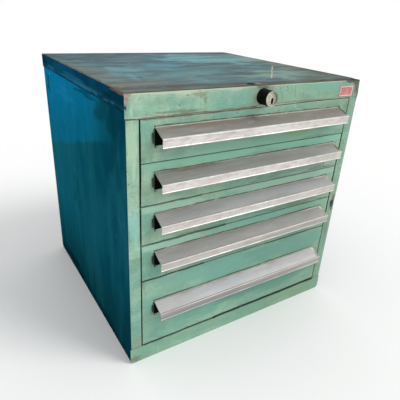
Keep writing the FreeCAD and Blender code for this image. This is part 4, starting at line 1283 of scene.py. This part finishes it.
def strip_material(number, low, high):
    coat = new_coat(f"label_strip_{number}")
    y = coat.place.parts()[1]
    lines = coat.group(BRUSHED, Place=coat.place)
    tone = STRIP_SHEEN_TONES[number]
    scuffed, stained = [tuple(value * share for value in tone) for share in (0.93, 0.88)]
    coat.color = coat.mix(lines["Tone"], scuffed, tone)
    coat.layer(coat.patches(0.035, 0.5, 0.4, (0.4, 1, 1)) * 0.35, stained)
    upper = y.between(high.y, high.y - 0.012, 0.5, 0.1)
    coat.layer(coat.patches(0.02, 0.3, 0.3, (0.3, 1, 1)) * upper, (150, 128, 118))
    coat.layer(coat.patches(0.06, 0.35, 0.3, (0.25, 1, 1)) * 0.22, (196, 196, 194))
    add_pull_spots(coat, low, high)
    coat.layer(coat.scratches(0.03, 0.6, (0.3, 1, 1)) * 0.3, (200, 198, 192))
    return coat.shade(lines["Tone"].between(0.0, 1.0, 0.62, 0.45), lines["Height"], 0.00005)


def make_strip(number):
    node = f"label_strip_{number}"
    low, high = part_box(node)
    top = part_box(f"drawer_handle_{number}")[1].z
    near, far = BEAD + STRIP_FIT, HANDLE_REACH - BEAD - STRIP_FIT
    floor = STRIP_RECESS * UPRIGHT
    roof = floor - STRIP_THICKNESS * UPRIGHT
    outline = [(near, floor), (near, roof), (far, roof), (far, floor)]
    section = [(distance, top - distance * SLOPE - below) for distance, below in outline]
    mesh = draw_section(section, low.x, high.x)
    bend(mesh, mesh.edges[:], 0.25 * MM, segments=2)
    material = strip_material(number, low, high)
    place_piece(f"strip_{number}", mesh, [material], f"drawer_{number}", [node])


for drawer in DRAWERS:
    make_strip(drawer)

# %% [markdown]
# ## Lock
# The lock stands out of the header: a black turned housing with a worn pale face, and the nickel core
# that the key turns, with its slot below the middle. A turned piece is a profile that the spin operator
# carries round its axis. The core is made from rings with as many points each: the tail, the head, a
# raised oval and the key slot, bridged in turn. The slot's ring is then drawn inwards.

# %% Lock materials
GRAIN = 1.2 * MM
GRAIN_DEPTH = 0.06 * MM


def simple_metal(name, color, worn, roughness, metallic, patch_size):
    """Plain metal or paint with worn patches and fine grain."""
    coat = new_coat(name)
    patches = coat.patches(patch_size, 0.4, 0.3)
    grain = coat.cloud(coat.place, GRAIN)
    coat.color = coat.mix(patches * 0.8, color, worn)
    coat.layer(grain * 0.25, SOOT)
    rough = patches.between(0.0, 1.0, roughness, roughness + 0.2)
    return coat.shade(rough, grain, GRAIN_DEPTH, metallic)


# %% Lock sizes
core_low, core_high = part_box("lock_plug")
LOCK_REACH = FRONT - barrel_low.y
RING_RADIUS = (barrel_high.x - barrel_low.x) / 2
LOCK_RADIUS = RING_RADIUS - 0.6 * MM
RING_THICKNESS = 2 * MM
THREAD_RADIUS = 13.7 * MM
THREAD_LENGTH = 14 * MM
HEAD_RADIUS = (core_high.x - core_low.x) / 2
HEAD_LENGTH = 16 * MM
TAIL_RADIUS = 10 * MM
CORE_FIT = 0.3 * MM
CHAMFER = 1.2 * MM
SLOT_HALF_WIDTH = 2.5 * MM
SLOT_HALF_HEIGHT = 6.25 * MM
SLOT_DROP = 4.5 * MM
SLOT_DEPTH = 14 * MM
SLOT_BEVEL = 0.8 * MM
print("lock stands out", round(LOCK_REACH / MM, 1), "mm, radius", round(LOCK_RADIUS / MM, 1), "mm")


# %% Lock housing
def face_shade(away):
    """How much painted shade the lock's face gets: none at the left, most to the upper right."""
    across, _, tall = away.parts()
    return (across + tall * 0.4).between(-0.006, 0.012)


def housing_material():
    """Black paint on the barrel, worn to pale mottled metal on the face, with painted shade up to the
    right.
    """
    coat = new_coat("lock_housing_black")
    away = coat.place - LOCK
    radius = coat.vector("LENGTH", away * (1, 0, 1))
    worn = coat.patches(0.012, 0.35, 0.3)
    black = coat.mix(worn * 0.6, (7, 8, 5), (34, 32, 24))
    # The face turns from pale to a greenish grey towards the upper right: painted shade.
    coat.color = coat.mix(face_shade(away), (196, 200, 182), (124, 146, 124))
    coat.layer(coat.patches(0.005, 0.5, 0.35) * 0.5, (128, 116, 100))
    at_face = away.parts()[1].between(0.8 * MM - LOCK_REACH, 1.4 * MM - LOCK_REACH, 1.0, 0.0)
    face = at_face * radius.between(HEAD_RADIUS + 0.2 * MM, HEAD_RADIUS + 0.9 * MM)
    coat.color = coat.mix(face, black, coat.color)
    grain = coat.cloud(coat.place, GRAIN)
    return coat.shade(worn.between(0.0, 1.0, 0.5, 0.65), grain, GRAIN_DEPTH, face * 0.5, 0.05)


def turn(profile, centre, steps):
    """A closed solid: a profile of (radius, distance behind the front plane) carried round Y."""
    mesh = bmesh.new()
    points = [mesh.verts.new(centre + Vector((radius, behind, 0))) for radius, behind in profile]
    ring = [mesh.edges.new((points[i], points[(i + 1) % len(points)])) for i in range(len(points))]
    bmesh.ops.spin(
        mesh,
        geom=points + ring,
        cent=centre,
        axis=(0, 1, 0),
        angle=math.tau,
        steps=steps,
        use_merge=True,
    )
    bmesh.ops.remove_doubles(mesh, verts=mesh.verts[:], dist=1e-6)
    bmesh.ops.recalc_face_normals(mesh, faces=mesh.faces[:])
    return mesh


def make_housing():
    bore = TAIL_RADIUS + CORE_FIT
    head_bore = HEAD_RADIUS + CORE_FIT
    shoulder = core_low.y - FRONT + HEAD_LENGTH + CORE_FIT
    profile = [
        (head_bore, 0.5 * MM - LOCK_REACH),
        (head_bore + 0.5 * MM, -LOCK_REACH),
        (LOCK_RADIUS - CHAMFER, -LOCK_REACH),
        (LOCK_RADIUS - 0.35 * MM, 0.35 * MM - LOCK_REACH),
        (LOCK_RADIUS, CHAMFER - LOCK_REACH),
        (LOCK_RADIUS, -RING_THICKNESS),
        (RING_RADIUS - 0.3 * MM, -RING_THICKNESS),
        (RING_RADIUS, 0.3 * MM - RING_THICKNESS),
        (RING_RADIUS, 0),
        (THREAD_RADIUS, 0),
        (THREAD_RADIUS, THREAD_LENGTH),
        (bore, THREAD_LENGTH),
        (bore, shoulder),
        (head_bore, shoulder),
    ]
    mesh = turn(profile, LOCK, 64)
    sharp = [edge for edge in mesh.edges if edge.calc_face_angle(0) > math.radians(50)]
    bend(mesh, sharp, 0.12 * MM, segments=2)
    coat = housing_material()
    place_piece("lock_housing", mesh, [coat], "carcase", ["lock_barrel"], crease=40)


make_housing()

# %% Lock core with its key slot
SLOT_POINTS = 48


def oval_ring(mesh, half_width, half_height, y, drop=0.0):
    """A ring of points on an upright oval with round ends, and its edges."""
    middle = LOCK.z - drop
    turn_half_step = Matrix.Rotation(math.pi / SLOT_POINTS, 4, "Z")
    upright = Matrix.Translation((LOCK.x, y, middle)) @ Matrix.Rotation(math.pi / 2, 4, "X")
    made = bmesh.ops.create_circle(
        mesh, cap_ends=False, radius=half_width, segments=SLOT_POINTS, matrix=upright @ turn_half_step
    )["verts"]
    for vert in made:
        vert.co.z += math.copysign(half_height - half_width, vert.co.z - middle)
    return [edge for edge in mesh.edges if edge.verts[0] in made and edge.verts[1] in made]


def core_material():
    """Worn nickel on the core's face, with painted shade to the upper right and inside the slot."""
    coat = new_coat("lock_face_nickel")
    mottle = coat.patches(0.006, 0.4, 0.3)
    coat.color = coat.mix(face_shade(coat.place - LOCK), (198, 198, 182), (136, 144, 124))
    coat.layer(mottle * 0.6, (140, 132, 116))
    # Everything behind the face, the slot's walls and floor, is painted near black: painted shade in the
    # slot.
    behind = coat.place.parts()[1].between(core_low.y + 0.25 * MM, core_low.y + 0.7 * MM)
    coat.layer(behind, (20, 21, 12))
    grain = coat.cloud(coat.place, GRAIN)
    metal = coat.mix_value(behind, 0.5, 0.0)
    return coat.shade(mottle.between(0.0, 1.0, 0.42, 0.62), grain, GRAIN_DEPTH, metal, 0.12)


def make_core():
    face = core_low.y
    head_rear = face + HEAD_LENGTH
    mesh = bmesh.new()
    circles = [
        (TAIL_RADIUS, core_high.y),
        (TAIL_RADIUS, head_rear),
        (HEAD_RADIUS, head_rear),
        (HEAD_RADIUS, face + 0.4 * MM),
        (HEAD_RADIUS - 0.5 * MM, face + 0.15 * MM),
    ]
    rings = [oval_ring(mesh, radius, radius, y) for radius, y in circles]
    for margin, sink in ((2.2, 0.2), (1.6, 0.0), (0.8, 0.0), (0.0, SLOT_BEVEL / MM)):
        half_width = SLOT_HALF_WIDTH + margin * MM
        half_height = SLOT_HALF_HEIGHT + margin * MM
        rings.append(oval_ring(mesh, half_width, half_height, face + sink * MM, SLOT_DROP))
    for outer, inner in zip(rings, rings[1:]):
        bmesh.ops.bridge_loops(mesh, edges=outer + inner)
    floor = draw_out(mesh, rings[-1], (0, SLOT_DEPTH - SLOT_BEVEL, 0))
    bmesh.ops.contextual_create(mesh, geom=floor)
    bmesh.ops.contextual_create(mesh, geom=rings[0])
    bmesh.ops.recalc_face_normals(mesh, faces=mesh.faces[:])
    coat = core_material()
    place_piece("lock_core", mesh, [coat], "lock_cylinder", ["lock_plug"], crease=40)


make_core()

# %% [markdown]
# ## Blank plate
# A small red plate with a pale raised rim sits at the right end of the header. It is left blank. A box
# with rounded corners is inset twice, and the field inside the rim is pushed back a little.

# %% Blank plate
PLATE_RIM = 2.2 * MM
PLATE_STEP = 0.4 * MM
PLATE_SINK = 0.35 * MM
PLATE_CORNER = 2 * MM


def plate_material(low, high):
    coat = new_coat("plate_red")
    edge = coat.group(EDGE, Place=coat.place, Low=tuple(low), High=tuple(high))
    fade = coat.patches(0.012, 0.5, 0.4)
    coat.color = coat.mix(fade * 0.7, (190, 98, 98), (216, 150, 146))
    coat.layer(edge.between(PLATE_RIM, PLATE_RIM + 0.0005, 1.0, 0.0), (224, 206, 196))
    chips = coat.chips(0.006, 0.25, 0.14)
    coat.layer(chips * 0.6, (150, 120, 108))
    coat.layer(coat.worn(edge, 0.001, 0.7) * 0.6, (110, 96, 78))
    return coat.shade(fade.between(0.0, 1.0, 0.4, 0.6), chips, -0.0001)


def make_plate():
    low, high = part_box("header_plate")
    mesh = bmesh.new()
    block(mesh, low, high)
    bend(mesh, edges_where(mesh, lambda middle, edge: runs_along(edge, 1)), PLATE_CORNER, segments=4)
    field = [face for face in mesh.faces if face.normal.y < -0.9]
    bmesh.ops.inset_region(mesh, faces=field, thickness=PLATE_RIM)
    bmesh.ops.inset_region(mesh, faces=field, thickness=PLATE_STEP)
    for vert in field[0].verts:
        vert.co.y += PLATE_SINK
    material = plate_material(low, high)
    place_piece("blank_plate", mesh, [material], "carcase", ["header_plate"])


make_plate()

# %% [markdown]
# ## Steel behind the fronts
# The posts, slides, rollers and the lock's linkage show when a drawer is out. They keep their shapes and
# get zinc plating or the dull inner enamel.

# %% Inner parts
def inner_enamel():
    coat = new_coat("inner_enamel")
    skin = coat.group(ENAMEL_SKIN, Place=coat.place)
    coat.color = coat.mix(skin["Tone"], (112, 150, 128), (126, 162, 140))
    coat.layer(coat.patches(0.06, 0.4, 0.35) * 0.4, (98, 108, 88))
    coat.layer(coat.scratches(0.07, 0.6, (1, 0.3, 1)) * 0.4, (150, 160, 150))
    coat.layer(coat.chips(0.03, 0.2, 0.08) * 0.7, RUST)
    return coat.shade(skin["Roughness"], skin["Height"], 0.0006)


INNER = inner_enamel()
ROLLER = simple_metal("roller_steel", (120, 118, 112), (84, 80, 72), 0.4, 0.8, 0.01)
ZINC = simple_metal("zinc_plate", (150, 152, 152), (118, 116, 108), 0.38, 0.85, 0.03)
SLIDES = ("slide_rails", "carriages", "drawer_runners", "back_screws")
LINKAGE = ("lock_nut", "lock_shaft", "lock_cam", "lock_bar", "lock_bracket")
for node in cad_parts:
    if node.startswith(("drawer_tray", "upright")):
        dress(node, INNER)
    elif node.startswith("carriage_rollers"):
        dress(node, ROLLER)
    elif node.startswith(SLIDES + LINKAGE):
        dress(node, ZINC)


# %% [markdown]
# ## Floor, light and camera
# The cabinet stands on a plain pale floor. The world lights it evenly from all round, and one wide sun
# from the upper right gives the pulls their soft shadows. A sun lights near and far alike, so the floor
# stays even up to the horizon. Behind the floor the world is white where the camera or a reflection
# sees it.

# %% Floor
FLOOR_HALF = 60


def make_floor():
    coat = new_coat("pale_floor")
    coat.color = coat.mix(coat.cloud(coat.place, 1.5, 2.0), (249, 249, 248), (251, 251, 251))
    mesh = bmesh.new()
    bmesh.ops.create_grid(mesh, x_segments=2, y_segments=2, size=FLOOR_HALF)
    data = bpy.data.meshes.new("floor")
    mesh.to_mesh(data)
    mesh.free()
    data.materials.append(coat.shade(0.8, sheen=0.2))
    floor = bpy.data.objects.new("floor", data)
    bpy.context.scene.collection.objects.link(floor)
    floor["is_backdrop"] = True


make_floor()

# %% Light
WORLD_LEVEL = 0.76
SUN_LEVEL = 1.35
SUN_SPREAD = 28
SUN_FROM = Vector((0.75, -0.75, 1.0))


def make_light():
    world = bpy.data.worlds.new("soft_studio")
    world.use_nodes = True
    bpy.context.scene.world = world
    nodes = Nodes(world.node_tree)
    background = world.node_tree.nodes["Background"]
    rays = nodes.add("ShaderNodeLightPath", {})
    seen = nodes.math("MAXIMUM", rays["Is Camera Ray"], rays["Is Glossy Ray"])
    seen = nodes.math("MAXIMUM", seen, rays["Is Transmission Ray"])
    background.inputs["Color"].default_value = (1, 1, 1, 1)
    nodes.feed(background.inputs["Strength"], nodes.mix_value(seen, WORLD_LEVEL, 1.0))
    lamp = bpy.data.lights.new("window", "SUN")
    lamp.energy = SUN_LEVEL
    lamp.angle = math.radians(SUN_SPREAD)
    window = bpy.data.objects.new("window", lamp)
    window.rotation_mode = "QUATERNION"
    window.rotation_quaternion = SUN_FROM.to_track_quat("Z", "Y")
    bpy.context.scene.collection.objects.link(window)


make_light()

# %% [markdown]
# ## Camera
# The photograph was taken from the left, a little above the cabinet, with a wide lens close by. The
# camera's place and axes were worked out from the corners of the case and the lines between the drawers.

# %% Camera
CAMERA_LENS = 36.457
CAMERA_PLACE = Vector((-0.6421, -1.0374, 0.8538))
CAMERA_LOOK = Vector((0.49892, 0.75334, -0.42845))
CAMERA_UP = Vector((0.18785, 0.38862, 0.90205))


def make_camera():
    lens = bpy.data.cameras.new("camera")
    lens.sensor_width = 36
    lens.lens = CAMERA_LENS
    lens.clip_end = 200
    camera = bpy.data.objects.new("camera", lens)
    bpy.context.scene.collection.objects.link(camera)
    back = -CAMERA_LOOK.normalized()
    right = CAMERA_UP.cross(back).normalized()
    up = back.cross(right)
    axes = Matrix((right, up, back)).transposed().to_4x4()
    camera.matrix_world = Matrix.Translation(CAMERA_PLACE) @ axes
    bpy.context.scene.camera = camera


make_camera()
bpy.context.scene.view_settings.view_transform = "Standard"

# %% [markdown]
# ## Size of the dressed cabinet
# The dressed cabinet has to keep the size of its steel. The last line prints how far the box of the whole
# dressed cabinet lies from the box of the construction.

# %% Sizes and finish
visual_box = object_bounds()
changes = [abs(a[axis] - b[axis]) for a, b in zip(cad_box, visual_box) for axis in range(3)]
print("largest change of the box, mm:", round(max(changes) / MM, 2))
